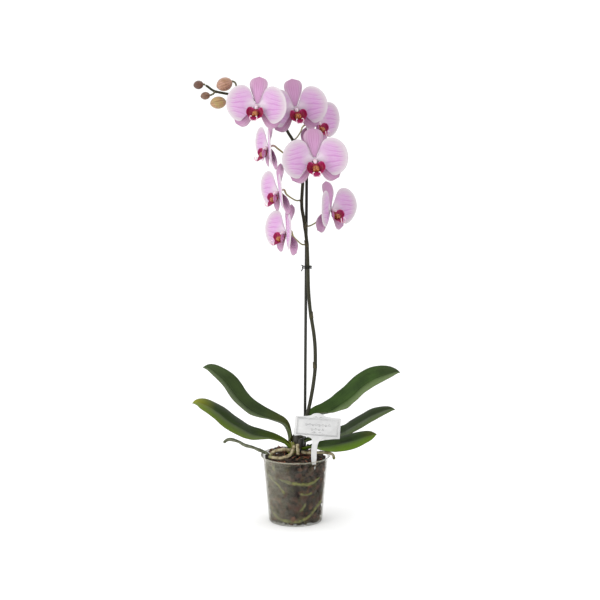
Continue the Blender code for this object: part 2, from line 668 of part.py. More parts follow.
def make_bud(index, bud, surface):
    """A closed bud and its stalk as one body."""
    name = f"bud_{index}"
    tip = Vector(bud["tip"]).normalized()
    centre = Vector(bud["at"])
    half = bud["length"] / 2
    body_path = [centre + tip * half * place for place, _ in BUD_PROFILE]
    body_radii = [bud["width"] / 2 * share for _, share in BUD_PROFILE]
    if len(bud["stalk"]) > 1:
        route = clear_of_spike(bud["stalk"], BUD_STALK_RADIUS)
    else:
        route = bud["stalk"]
    stalk_end = centre - tip * half * 1.12
    stalk_path = along(route + [tuple(stalk_end)], 7)
    path = stalk_path + body_path
    radii = [BUD_STALK_RADIUS] * len(stalk_path) + body_radii
    return tube(name, path, radii, surface)


def spike_radius(at, height):
    swell = sum(SPIKE_NODE_SWELL * math.exp(-((height - node) / 4) ** 2) for node in SPIKE_NODES)
    return SPIKE_FOOT_RADIUS + (SPIKE_TIP_RADIUS - SPIKE_FOOT_RADIUS) * at ** 2.2 + swell


def make_spike(surface):
    path = along(SPIKE_ROUTE, SPIKE_STATIONS)
    radii = [spike_radius(index / (SPIKE_STATIONS - 1), point.z) for index, point in enumerate(path)]
    return tube("flower_spike", path, radii, surface)


def make_stake(surface, bark):
    ends = [Vector(STAKE_FOOT), Vector(STAKE_TOP)]
    tip = ends[1] + Vector((0, 0, 1.2))
    below = ends[0] - Vector((0, 0, 3))
    cut(bark, tube("stake_cutter", [below, ends[1]], [STAKE_RADIUS + STAKE_CLEARANCE] * 2, None, sides=12))
    return tube("stake", [*ends, tip], [STAKE_RADIUS, STAKE_RADIUS, STAKE_RADIUS * 0.6], surface, sides=12)


def make_tie(surface):
    """Wire wound round the spike and the stake, with short free ends."""
    middle = Vector((*TIE_MIDDLE, TIE_HEIGHT))
    path = [middle + Vector((-TIE_HALF_WIDTH - 1.5, -TIE_HALF_DEPTH * 0.85, 4.5))]
    for step in range(TIE_STEPS * TIE_TURNS + 1):
        angle = math.radians(190) + 2 * math.pi * step / TIE_STEPS
        rise = TIE_PITCH * (step / TIE_STEPS - TIE_TURNS / 2)
        path.append(Vector((TIE_MIDDLE[0] + TIE_HALF_WIDTH * math.cos(angle),
                            TIE_MIDDLE[1] + TIE_HALF_DEPTH * math.sin(angle), TIE_HEIGHT - rise)))
    path.append(path[-1] + Vector((-2.0, -4.0, -3.0)))
    return tube("stake_tie", path, [TIE_WIRE_RADIUS] * len(path), surface, sides=6)


def tag_depth(height):
    return TAG_FOOT_DEPTH - TAG_LEAN * (height - TAG_FOOT_HEIGHT)


def make_tag(surface, bark):
    def plate(name, outline, thickness, owner):
        count = len(outline)
        points = [(x, tag_depth(z) - thickness / 2, z) for x, z in outline]
        points += [(x, tag_depth(z) + thickness / 2, z) for x, z in outline]
        faces = [tuple(range(count)), tuple(reversed(range(count, 2 * count)))]
        for index in range(count):
            following = (index + 1) % count
            faces.append((following, index, count + index, count + following))
        made = mesh_object(name, points, faces, owner, smooth=False)
        face_outward(made)
        return made

    cut(bark, plate("tag_cutter", TAG_HOLE, TAG_THICKNESS + 2 * TAG_CLEARANCE, None))
    return plate("name_tag", TAG_OUTLINE, TAG_THICKNESS, surface)


def build():
    clear_scene()
    surfaces = {
        "pot": material("clear_plastic", (0.78, 0.78, 0.76), 0.12, alpha=0.35),
        "bark": material("bark", (0.09, 0.045, 0.025), 0.9),
        "root": material("root_skin", (0.62, 0.62, 0.46), 0.6),
        "wall_root": material("green_root", (0.23, 0.28, 0.06), 0.5),
        "crown": material("crown_green", (0.32, 0.38, 0.12), 0.5),
        "leaf": material("leaf_green", (0.035, 0.09, 0.02), 0.32),
        "spike": material("spike_green", (0.11, 0.12, 0.045), 0.5),
        "stake": material("stake_plastic", (0.02, 0.026, 0.02), 0.45),
        "tie": material("tie_wire", (0.02, 0.02, 0.02), 0.5),
        "tag": material("tag_card", (0.86, 0.86, 0.85), 0.45),
        "bud": material("bud_skin", (0.33, 0.2, 0.12), 0.5),
        "petal": material("petal_pink", (0.7, 0.48, 0.7), 0.5),
        "sepal": material("sepal_pink", (0.66, 0.42, 0.62), 0.5),
        "lip": material("lip_magenta", (0.42, 0.02, 0.13), 0.4),
        "stalk": material("stalk_green", (0.3, 0.3, 0.13), 0.5),
    }
    make_pot(surfaces["pot"])
    bark = make_bark(surfaces["bark"])
    for name, (route, radius) in ROOTS.items():
        make_root(name, route, radius, surfaces["root"], bark)
    for name, (route, radius) in WALL_ROOTS.items():
        make_wall_root(name, route, radius, surfaces["wall_root"], bark)
    make_crown(surfaces["crown"], bark)
    make_stake(surfaces["stake"], bark)
    make_tag(surfaces["tag"], bark)
    for name, leaf in LEAVES.items():
        make_leaf(name, leaf, surfaces["leaf"])
    make_spike(surfaces["spike"])
    make_tie(surfaces["tie"])
    for index, bud in enumerate(BUDS, start=1):
        make_bud(index, bud, surfaces["bud"])
    lip = lip_mesh()
    for index, flower in enumerate(FLOWERS, start=1):
        make_flower(index, flower, surfaces, lip)
    bpy.data.meshes.remove(lip)


build()
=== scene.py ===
"""Looks of the potted moth orchid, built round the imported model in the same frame."""
import math

import bmesh
import bpy
import numpy as np
from mathutils import Euler, Matrix, Vector


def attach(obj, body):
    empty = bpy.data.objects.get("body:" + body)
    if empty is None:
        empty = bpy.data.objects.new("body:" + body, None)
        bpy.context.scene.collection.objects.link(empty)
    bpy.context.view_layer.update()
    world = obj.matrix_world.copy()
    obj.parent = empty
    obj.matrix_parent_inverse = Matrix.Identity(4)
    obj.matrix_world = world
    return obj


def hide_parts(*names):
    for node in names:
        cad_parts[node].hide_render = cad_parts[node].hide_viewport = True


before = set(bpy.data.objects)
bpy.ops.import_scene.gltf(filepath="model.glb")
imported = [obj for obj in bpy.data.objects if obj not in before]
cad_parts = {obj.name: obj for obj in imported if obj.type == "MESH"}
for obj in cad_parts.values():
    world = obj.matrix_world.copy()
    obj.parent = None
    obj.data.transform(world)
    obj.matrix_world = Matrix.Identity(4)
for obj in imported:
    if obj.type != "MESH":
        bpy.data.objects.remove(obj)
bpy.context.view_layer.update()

MM = 0.001
CAMERA_X = 0.0076
CAMERA_Y = -3.0
CAMERA_Z = 0.9
CAMERA_DOWN = math.radians(9.72)
SENSOR = 36.0
LENS = 107.5
WORLD_STRENGTH = 1.17
FLOOR_GREYS = (0.955, 0.965)
LIGHTS = [  # name, place and aim in metres, size in metres, power in watts
    ("key_light", (-2.4, -1.9, 1.3), (0, 0, 0.45), 2.6, 42),
    ("top_light", (0.1, 0.4, 2.4), (0, 0, 0.3), 1.4, 6),
]

# The model's own measures, in millimetres
POT_BASE_RADIUS = 46.0
POT_WALL_RADIUS = 55.5
POT_RIM_RADIUS = 60.0
POT_HEIGHT = 116.0
POT_WALL = 1.3
RIM_HEIGHT = 10.0
DRAIN_HOLES = 8
DRAIN_HOLE_RADIUS = 4.0
DRAIN_RING_RADIUS = 33.0
BARK_TOP = 111.0

STAKE_FOOT = (15.2, 18.5, 22.0)
STAKE_TOP = (19.2, 11.8, 640.0)
STAKE_RADIUS = 2.5

SPIKE_ROUTE = [
    (8.6, -9.5, 147), (11, -9.5, 157), (16, -7.5, 172), (22, -2, 195), (27, 0, 219), (31, 0, 244),
    (33.5, 0, 270), (33.5, 0, 300), (31.5, 1, 325), (28, 2, 348), (25, 4, 367), (22, 5.5, 402), (21, 6, 440),
    (20, 6, 471), (18.5, 6, 490), (16.5, 5, 506), (14, 3, 524), (11, 2, 541), (10.5, 1, 556), (11.5, 0, 574),
    (12, 0, 589), (9, 0, 607), (3, 0, 633), (-4, 0, 656), (-11, 0, 668), (-17, 0, 678), (-29, 0, 694),
    (-46, 0, 711), (-66, 0, 724), (-86, 0, 729), (-111, 0, 734), (-127, 0, 737), (-137, 0, 740),
    (-146, 0, 746.5), (-150, 0, 749),
]
SPIKE_FOOT_RADIUS = 3.2
SPIKE_TIP_RADIUS = 2.0
SPIKE_NODES = [270.0, 357.0, 480.0, 510.0]  # heights of its swollen joints

FLOWERS = [
    {"at": (-62.5, -55, 719), "turn": (-12, -2, 3), "size": 0.97, "cup": 10,
     "stalk": [(-46, 0, 711), (-48, -10, 716), (-54, -28, 722)]},
    {"at": (0.5, -14, 712.5), "turn": (13, -3, -6), "size": 1.0, "cup": 12,
     "stalk": [(-17, 0, 678), (-13, 9, 685), (-8, 17, 698), (-4, 13, 709)]},
    {"at": (35, 58, 684), "turn": (54, 0, 0), "size": 0.97, "cup": 17,
     "stalk": [(-4, 0, 656), (3, 10, 662), (9, 30, 670), (13, 50, 677)]},
    {"at": (-45, -8, 647), "turn": (-74, -4, 1), "size": 0.94, "cup": 11,
     "stalk": [(5.8, 0, 622), (-4, -1, 626), (-17, -2, 634), (-29, -3, 643)]},
    {"at": (32, -52, 631), "turn": (5, -8, -4), "size": 1.05, "cup": 9,
     "stalk": [(9.7, 0, 603), (14, -9, 606), (23, -24, 616), (30, -36, 626)]},
    {"at": (-28, -12, 573), "turn": (-68, -6, 0), "size": 0.97, "cup": 15,
     "stalk": [(10.5, 1, 556), (2, -1, 556), (-6, -3, 560), (-15, -5, 567)]},
    {"at": (-16, -12, 505), "turn": (-63, 3, 0), "size": 0.97, "cup": 18,
     "stalk": [(19.3, 6, 480), (11, 3, 481), (4, 0, 487), (-4, -4, 496)]},
    {"at": (60, -8, 543), "turn": (52, 3, 0), "size": 0.98, "cup": 20,
     "stalk": [(15.6, 4.4, 511), (25, 3, 513), (36, 1, 520), (49, -1, 535)]},
]
PETAL_THICKNESS = 0.9
SEPAL_THICKNESS = 1.0
SEPAL_LAYER = -1.4  # how far behind the petals the sepals lie at the middle
CLAW_HALF_WIDTH = 3.0
PETAL_OUTLINE = [
    (3, 2.6), (8.5, 9), (10.5, 19), (15, 28.5), (25, 33.5), (37, 31), (47, 22), (52.5, 9), (53.5, -3),
    (49.5, -14), (42, -23), (33, -28), (26, -27), (21, -19), (15, -10.5), (8, -5), (3, -2.6),
]
SEPALS = [  # direction in degrees, length, half-width, backward sweep at the tip
    (90, 47.5, 15.5, 7),
    (-42, 50, 15, 1.5),
    (222, 50, 15, 1.5),
]
SEPAL_PROFILE = [(0.0, 0.17), (0.25, 0.5), (0.5, 0.84), (0.7, 1.0), (0.84, 0.93), (0.94, 0.66), (1.0, 0.05)]

# Balls of a lip on the flower's own axes: middle, radii and tilt in degrees
COLUMN = ((0, -2.6, 5.0), (3.3, 3.5, 5.4), 12)
ANTHER_CAP = ((0, -4.0, 9.2), (2.3, 1.9, 1.6), 20)
THROAT = ((0, -10.3, 6.4), (6.6, 5.6, 4.4), 0)
CALLUS = ((0, -13.0, 10.8), (5.2, 4.6, 5.6), 14)
SIDE_LOBE_PLACE = (9.6, -11.0, 10.6)
SIDE_LOBE_TURN = (50, -10)  # about the flower's Y and Z axes
MIDDLE_LOBE_ROUTE = [(0, -15.0, 6.0), (0, -18.0, 10.6), (0, -20.4, 15.6), (0, -22.2, 19.4), (0, -23.0, 22.6)]
MIDDLE_LOBE_PROFILE = [(0.0, 7.4), (0.18, 10.6), (0.38, 12.2), (0.54, 11.2), (0.7, 8.0), (0.85, 4.4),
                       (1.0, 1.9)]
WHISKER_ROUTE = [(0.8, -22.6, 21.4), (2.8, -22.8, 23.8), (5.2, -21.4, 25.2), (6.2, -18.2, 25.4),
                 (5.0, -15.6, 24.2), (3.2, -16.4, 23.4)]

BUDS = [
    {"at": (-118, -10, 751), "tip": (-0.94, -0.05, -0.32), "length": 27, "width": 22.5,
     "stalk": [(-109, -1, 733.6), (-101, -5, 738), (-98, -9, 746.5), (-100, -10, 753.5)]},
    {"at": (-128.5, -12, 720.5), "tip": (-0.99, -0.05, -0.1), "length": 26.5, "width": 20.5,
     "stalk": [(-90, -1, 730), (-93, -9, 725), (-103, -12, 721.8)]},
    {"at": (-161.5, 0, 749.5), "tip": (-0.99, 0, -0.1), "length": 17, "width": 14.5,
     "stalk": [(-150.3, 0, 749.2)]},
    {"at": (-150, -5, 731.5), "tip": (-0.98, -0.1, -0.12), "length": 16, "width": 13,
     "stalk": [(-133, -0.5, 738.6), (-136.5, -5, 735)]},
]
BUD_STALK_RADIUS = 1.6
BUD_PROFILE = [  # from its foot at -1 to its tip at 1, with its share of the full width
    (-1.0, 0.2), (-0.93, 0.4), (-0.8, 0.62), (-0.5, 0.88), (-0.1, 1.0), (0.3, 0.94), (0.62, 0.74), (0.85, 0.46),
    (0.95, 0.24), (1.0, 0.06),
]
BUD_TONES = [  # light, second and vein
    ((170, 128, 106), (144, 106, 76), (104, 64, 46)), ((160, 138, 82), (168, 124, 96), (112, 80, 46)),
    ((98, 60, 40), (82, 48, 30), (50, 26, 18)), ((124, 90, 68), (106, 74, 50), (62, 38, 26)),
]

LEAF_THICKNESS = 2.0
LEAVES = {
    "leaf_1": {
        "midrib": [(-12, 3.6, 138), (-13, 4, 148), (-16, 4, 158), (-23, 4, 168), (-39, 4, 175), (-64, 3, 185),
                   (-83, 3, 196), (-102, 3, 215), (-119, 4, 239), (-135, 5, 255), (-148, 6, 265),
                   (-159, 6, 268)],
        "half_width": 25.5, "base_fold": 44, "fold": 22, "turn": 24},
    "leaf_2": {
        "midrib": [(-11.5, -5, 128), (-15, -5.5, 133), (-22, -6, 138), (-39, -7, 144), (-58, -9, 149),
                   (-76, -10, 154), (-95, -12, 165), (-114, -14, 177), (-132, -15, 192), (-151, -17, 205),
                   (-166, -18, 211), (-176, -20, 211)],
        "half_width": 27, "base_fold": 40, "fold": 3, "turn": 20},
    "leaf_3": {
        "midrib": [(16.1, 4.2, 151), (19.4, 4.6, 160), (26, 6.5, 172), (37, 10, 181), (54, 15, 185),
                   (66, 18, 190),
                   (78, 19, 198), (90, 20, 206), (102, 20, 216), (114, 20, 228), (126, 20, 237), (138, 20, 244),
                   (156, 20, 251), (173, 20, 256), (180, 20, 256)],
        "half_width": 29, "base_fold": 60, "fold": 19, "turn": 26},
    "leaf_4": {
        "midrib": [(14, 2, 134), (19, 2, 138), (31, 4, 141), (55, 8, 144), (81, 12, 151), (96, 11, 160),
                   (114, 10, 171), (132, 8, 182), (150, 7, 190), (163, 6, 194), (171, 5, 194)],
        "half_width": 20.5, "base_fold": 50, "fold": 6, "turn": 20},
    "leaf_5": {
        "midrib": [(14, -6, 125), (19, -10, 127.5), (30, -17, 132), (53, -27, 137), (77, -29, 142),
                   (101, -31, 148), (119, -32, 155), (138, -33, 160)],
        "half_width": 24, "base_fold": 40, "fold": 1, "turn": 20},
}
LEAF_TONES = {  # darkest, lighter, base, painted highlight on the margin nearer the camera, and tip
    "leaf_1": ((36, 50, 20), (48, 64, 28), (62, 62, 14), (82, 96, 62), (62, 76, 46)),
    "leaf_2": ((28, 44, 8), (44, 62, 14), (70, 86, 10), (90, 110, 36), (134, 138, 34)),
    "leaf_3": ((30, 50, 14), (48, 72, 24), (46, 68, 14), (92, 110, 66), (36, 44, 24)),
    "leaf_4": ((32, 44, 24), (46, 60, 32), (48, 62, 22), (82, 98, 58), (46, 54, 26)),
    "leaf_5": ((14, 26, 2), (40, 64, 8), (22, 36, 4), (80, 108, 12), (64, 68, 14)),
}
LEAF_PROFILE = [(0.0, 0.3), (0.08, 0.42), (0.2, 0.64), (0.38, 0.86), (0.58, 1.0), (0.75, 0.97), (0.88, 0.72),
                (0.96, 0.38), (1.0, 0.06)]
CROWN_STATIONS = [  # height and radius along Y
    (96, 5.6), (104, 6.6), (120, 7.2), (140, 6.8), (150, 5.6), (154, 3.8),
]
CROWN_WIDENING = 1.32  # its breadth along X against its depth along Y
CROWN_MIDDLE_X = 1.6
CROWN_LAPS = (108, 118, 127, 136, 145)  # heights where one sheath ends over the next

ROOTS = {
    "aerial_root_left": ([(-41, 4, 108), (-46, 6.5, 112.5), (-51, 9, 116.2), (-57, 9.5, 118.9),
                          (-65, 8.5, 122.6),
                          (-75, 6, 127.4), (-87, 4, 131.2), (-99, 2, 138.4), (-111, 0, 142.4), (-118, 0, 141.6),
                          (-124, 0, 136.4)], 2.8),
    "rim_root_right": ([(10, -10.5, 123), (20, -12, 122), (34, -13, 122.5), (46, -14, 123), (54, -14, 122.5),
                        (60, -14.5, 121.5), (65, -15, 117.8), (66, -16, 111)], 2.7),
    "surface_root_1": ([(-7.5, -12.4, 127), (-13, -18, 128.6), (-20, -20, 130), (-29, -19, 128.6),
                        (-38, -18, 125.4), (-44, -17.5, 118)], 2.7),
    "surface_root_2": ([(-3, -11.4, 134), (-4.5, -17.5, 128.6), (-8.5, -26, 122.8), (-17, -33, 119.8),
                        (-28, -36, 119), (-38, -34, 119.6), (-46, -30, 120)], 2.7),
    "surface_root_3": ([(3.2, -11.6, 136), (3.6, -16, 131), (4.0, -19.5, 126), (4.4, -21.5, 120)], 3.1),
}
WALL_ROOTS = {
    "wall_root_1": ([(-76, 44), (-66, 27), (-48, 14), (-26, 9.5), (0, 8.5), (20, 12), (38, 21),
                     (56, 32), (78, 40)], 2.9),
    "wall_root_2": ([(-35, 85), (-18, 80), (0, 77), (20, 75), (38, 77), (56, 85)], 3.3),
    "wall_root_3": ([(-49, 108), (-47, 101), (-42, 96)], 2.4),
    "wall_root_4": ([(-80, 93), (-60, 83), (-45, 76.5), (-31, 68), (-23, 57)], 2.3),
    "wall_root_5": ([(10, 59), (22, 57), (36, 58)], 2.3),
    "wall_root_6": ([(22, 42), (17, 34), (9, 26)], 2.3),
}
WALL_ROOT_CLEARANCE = 0.6

WALL_CHIPS = 760
TOP_CHIPS = 430
FIBRES = 90
CORE_GAP = 3.6  # from the pot's wall to the dark core behind the chips

TAG_OUTLINE = [
    (0, 196), (10, 195.4), (24, 196.2), (31, 199.5), (38, 200.4), (46, 198), (52, 194.4), (66, 192.2),
    (77, 191), (76, 173), (75, 154.6), (63, 154.2), (52, 153), (44.5, 152.6), (39, 148), (36.4, 135),
    (35.6, 117), (33.2, 100.5), (31.5, 99.2), (29.8, 100.5), (26.9, 117), (26.8, 136), (28.2, 150),
    (25.6, 156.4), (16, 159.4),
    (8, 161.6), (-3, 162), (-1.5, 178),
]
TAG_CORNERS = {0, 8, 10, 17, 24}  # points of the outline that stay sharp
TAG_THICKNESS = 1.2
TAG_FOOT_HEIGHT = 99.5
TAG_FOOT_DEPTH = -39.5  # y at the foot
TAG_LEAN = 0.09  # how far it leans forward for each unit of height
TAG_MIDDLE = (37.3, 176.0)
TAG_TILT = math.radians(-4.6)

TIE_HEIGHT = 441.0
TIE_MIDDLE = (19.4, 9.8)
TIE_HALF_WIDTH = 7.7
TIE_HALF_DEPTH = 8.8
TIE_TURNS = 2
TIE_PITCH = 2.9


# ---------------------------------------------------------------- curves and shapes

def spline_points(points, count):
    """Points of a Catmull-Rom curve at even steps of its parameter."""
    given = np.array(points, float)
    spans = len(given) - 1
    place = np.linspace(0, spans, count)
    index = np.minimum(place.astype(int), spans - 1)
    t = (place - index)[:, None]
    a, b = given[np.maximum(index - 1, 0)], given[index]
    c, d = given[index + 1], given[np.minimum(index + 2, spans)]
    return 0.5 * (2 * b + (c - a) * t + (2 * a - 5 * b + 4 * c - d) * t ** 2 + (3 * b - a - 3 * c + d) * t ** 3)


def along(points, count):
    """Points evenly spaced along the smooth curve through the points given."""
    fine = spline_points(points, 1201)
    travelled = np.concatenate([[0], np.cumsum(np.linalg.norm(np.diff(fine, axis=0), axis=1))])
    goals = np.linspace(0, travelled[-1], count)
    return np.stack([np.interp(goals, travelled, fine[:, axis]) for axis in range(fine.shape[1])], axis=1)


def unit(vectors):
    return vectors / np.maximum(np.linalg.norm(vectors, axis=-1, keepdims=True), 1e-9)


def directions_of(path):
    return unit(np.gradient(path, axis=0))


def smooth_step(low, high, value):
    t = np.clip((value - low) / (high - low), 0, 1)
    return t * t * (3 - 2 * t)


def bell(value, middle, width):
    return np.exp(-((value - middle) / width) ** 2)


def ring_faces(rings, sides):
    """Faces of a closed body made of rings of points, each ring with the same number of points."""
    faces = [(ring * sides + step, ring * sides + (step + 1) % sides,
              (ring + 1) * sides + (step + 1) % sides, (ring + 1) * sides + step)
             for ring in range(rings - 1) for step in range(sides)]
    return faces + [tuple(reversed(range(sides))), tuple(range((rings - 1) * sides, rings * sides))]


def inside_out(faces):
    return [face[::-1] for face in faces]


def circle(sides):
    """Angles at even steps of one full turn."""
    return 2 * np.pi * np.arange(sides) / sides


def lathe(radius, height, sides, widening=1.0, middle=0.0):
    """Points of rings about the Z axis, with a radius and a height for each ring or for each of its points."""
    radius, height = (np.broadcast_to(values, (len(radius), sides)) for values in (radius, height))
    angles = circle(sides)
    return np.stack([radius * np.cos(angles) * widening + middle, radius * np.sin(angles), height],
                    axis=-1).reshape(-1, 3)


def tube(path, radii, sides=16, flat=1.0):
    """A closed tube: points, faces and the places of its points along and around it, from 0 to 1.

    radii holds one number for each point of the path, or one for each of its sides as well."""
    count = len(path)
    radii = np.array(radii, float)
    radii = np.broadcast_to(radii.reshape(count, -1) if radii.size > 1 else radii, (count, sides))
    heading = directions_of(path)
    side = unit(np.cross(heading[0], [0.31, 0.17, 0.93]))
    angles = circle(sides)
    points = np.zeros((count, sides, 3))
    for index in range(count):
        side = unit(side - heading[index] * side.dot(heading[index]))
        other = np.cross(heading[index], side)
        points[index] = path[index] + radii[index][:, None] * (
            np.cos(angles)[:, None] * side + flat * np.sin(angles)[:, None] * other)
    travelled = np.repeat(np.linspace(0, 1, count), sides)
    around = np.tile(np.arange(sides) / sides, count)
    return points.reshape(-1, 3), ring_faces(count, sides), travelled, around


def rounded(path, radii, start=True, end=True):
    """Radii that close a tube with round ends."""
    radii = np.array(np.broadcast_to(radii, len(path)), float)
    travelled = np.concatenate([[0], np.cumsum(np.linalg.norm(np.diff(path, axis=0), axis=1))])
    for wanted, distance in ((start, travelled), (end, travelled[-1] - travelled)):
        if wanted:
            near = np.clip(distance / radii, 0.02, 1)
            radii = radii * np.sqrt(1 - (1 - near) ** 2)
    return radii


def closed_sheet(grid, thickness):
    """A thin closed body on both sides of a grid of points: all its front points, then all its back ones."""
    rows, columns, _ = grid.shape
    thickness = np.broadcast_to(thickness, (rows, columns))
    normal = unit(np.cross(np.gradient(grid, axis=0), np.gradient(grid, axis=1)))
    front = grid + normal * thickness[..., None] / 2
    back = grid - normal * thickness[..., None] / 2
    total = rows * columns
    faces = []
    for row in range(rows - 1):
        for column in range(columns - 1):
            corner = row * columns + column
            quad = (corner, corner + 1, corner + columns + 1, corner + columns)
            faces.append(tuple(reversed(quad)))
            faces.append(tuple(total + point for point in quad))
    rim = [column for column in range(columns)]
    rim += [row * columns + columns - 1 for row in range(1, rows)]
    rim += [(rows - 1) * columns + column for column in range(columns - 2, -1, -1)]
    rim += [row * columns for row in range(rows - 2, 0, -1)]
    for first, second in zip(rim, rim[1:] + rim[:1]):
        faces.append((first, second, total + second, total + first))
    return np.concatenate([front.reshape(-1, 3), back.reshape(-1, 3)]), faces


def sheet_places(rows, columns):
    """Places along a sheet, from 0 to 1, and across it, from -1 to 1."""
    return np.linspace(0, 1, rows)[:, None], np.linspace(-1, 1, columns)[None, :]


def both_sides(values, size=None):
    """A trait of a grid's points, for the two faces of its closed sheet."""
    flat = np.asarray(values, float)
    flat = (flat if size is None else np.broadcast_to(flat, size)).reshape(-1)
    return np.concatenate([flat, flat])


def ball(centre, radii, tilt=0, rings=18, segments=28, shape=None):
    """A closed ellipsoid, whose surface a function of its unit directions may push in or out."""
    theta = np.linspace(0.04, np.pi - 0.04, rings)[:, None]
    phi = circle(segments)[None, :]
    raw = np.stack([np.sin(theta) * np.cos(phi), np.sin(theta) * np.sin(phi),
                    np.cos(theta) * np.ones_like(phi)], axis=-1)
    if shape:
        raw = raw * shape(raw)[..., None]
    turned = np.array(Matrix.Rotation(math.radians(tilt), 3, "X"))
    points = (raw * np.array(radii)).reshape(-1, 3) @ turned.T + np.array(centre)
    return points, inside_out(ring_faces(rings, segments))


def placed(name, data):
    """A new object in the scene."""
    made = bpy.data.objects.new(name, data)
    bpy.context.scene.collection.objects.link(made)
    return made


class Shape:
    """Closed bodies gathered into one piece, with named numbers on their points for the materials to read."""

    def __init__(self):
        self.points = []
        self.faces = []
        self.kinds = []
        self.traits = {}
        self.count = 0

    def add(self, points, faces, kind=0, **traits):
        points = np.asarray(points, float)
        self.points.append(points)
        self.faces += [tuple(self.count + point for point in face) for face in faces]
        self.kinds += [kind] * len(faces)
        for name, values in traits.items():
            column = self.traits.setdefault(name, [])
            held = sum(len(part) for part in column)
            if held < self.count:
                column.append(np.zeros(self.count - held))
            column.append(np.broadcast_to(np.asarray(values, float), len(points)))
        self.count += len(points)

    def make(self, name, surfaces, node):
        """The piece itself, riding on the root body in place of its node. Its points are in millimetres."""
        mesh = bpy.data.meshes.new(name)
        points = np.concatenate(self.points) * MM
        mesh.from_pydata(points.tolist(), [], self.faces)
        for surface in surfaces:
            mesh.materials.append(surface)
        mesh.polygons.foreach_set("material_index", self.kinds)
        for trait, column in self.traits.items():
            values = np.concatenate(column)
            values = np.concatenate([values, np.zeros(self.count - len(values))])
            mesh.attributes.new(trait, "FLOAT", "POINT").data.foreach_set("value", values.astype(np.float32))
        mesh.shade_smooth()
        mesh.update()
        tidy = bmesh.new()
        tidy.from_mesh(mesh)
        bmesh.ops.recalc_face_normals(tidy, faces=tidy.faces)
        tidy.to_mesh(mesh)
        tidy.free()
        made = placed(name, mesh)
        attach(made, "root")
        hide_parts(node)
        return made


# ---------------------------------------------------------------- materials

def srgb(red, green, blue):
    """A colour as shown on a screen, from 0 to 255, as the renderer's linear one."""
    shares = [value / 255 for value in (red, green, blue)]
    return tuple(s / 12.92 if s <= 0.04045 else ((s + 0.055) / 1.055) ** 2.4 for s in shares) + (1.0,)


MIX_SHARE, MIX_FIRST, MIX_SECOND, MIX_RESULT = 0, 6, 7, 2  # colour sockets of the renderer's mix node


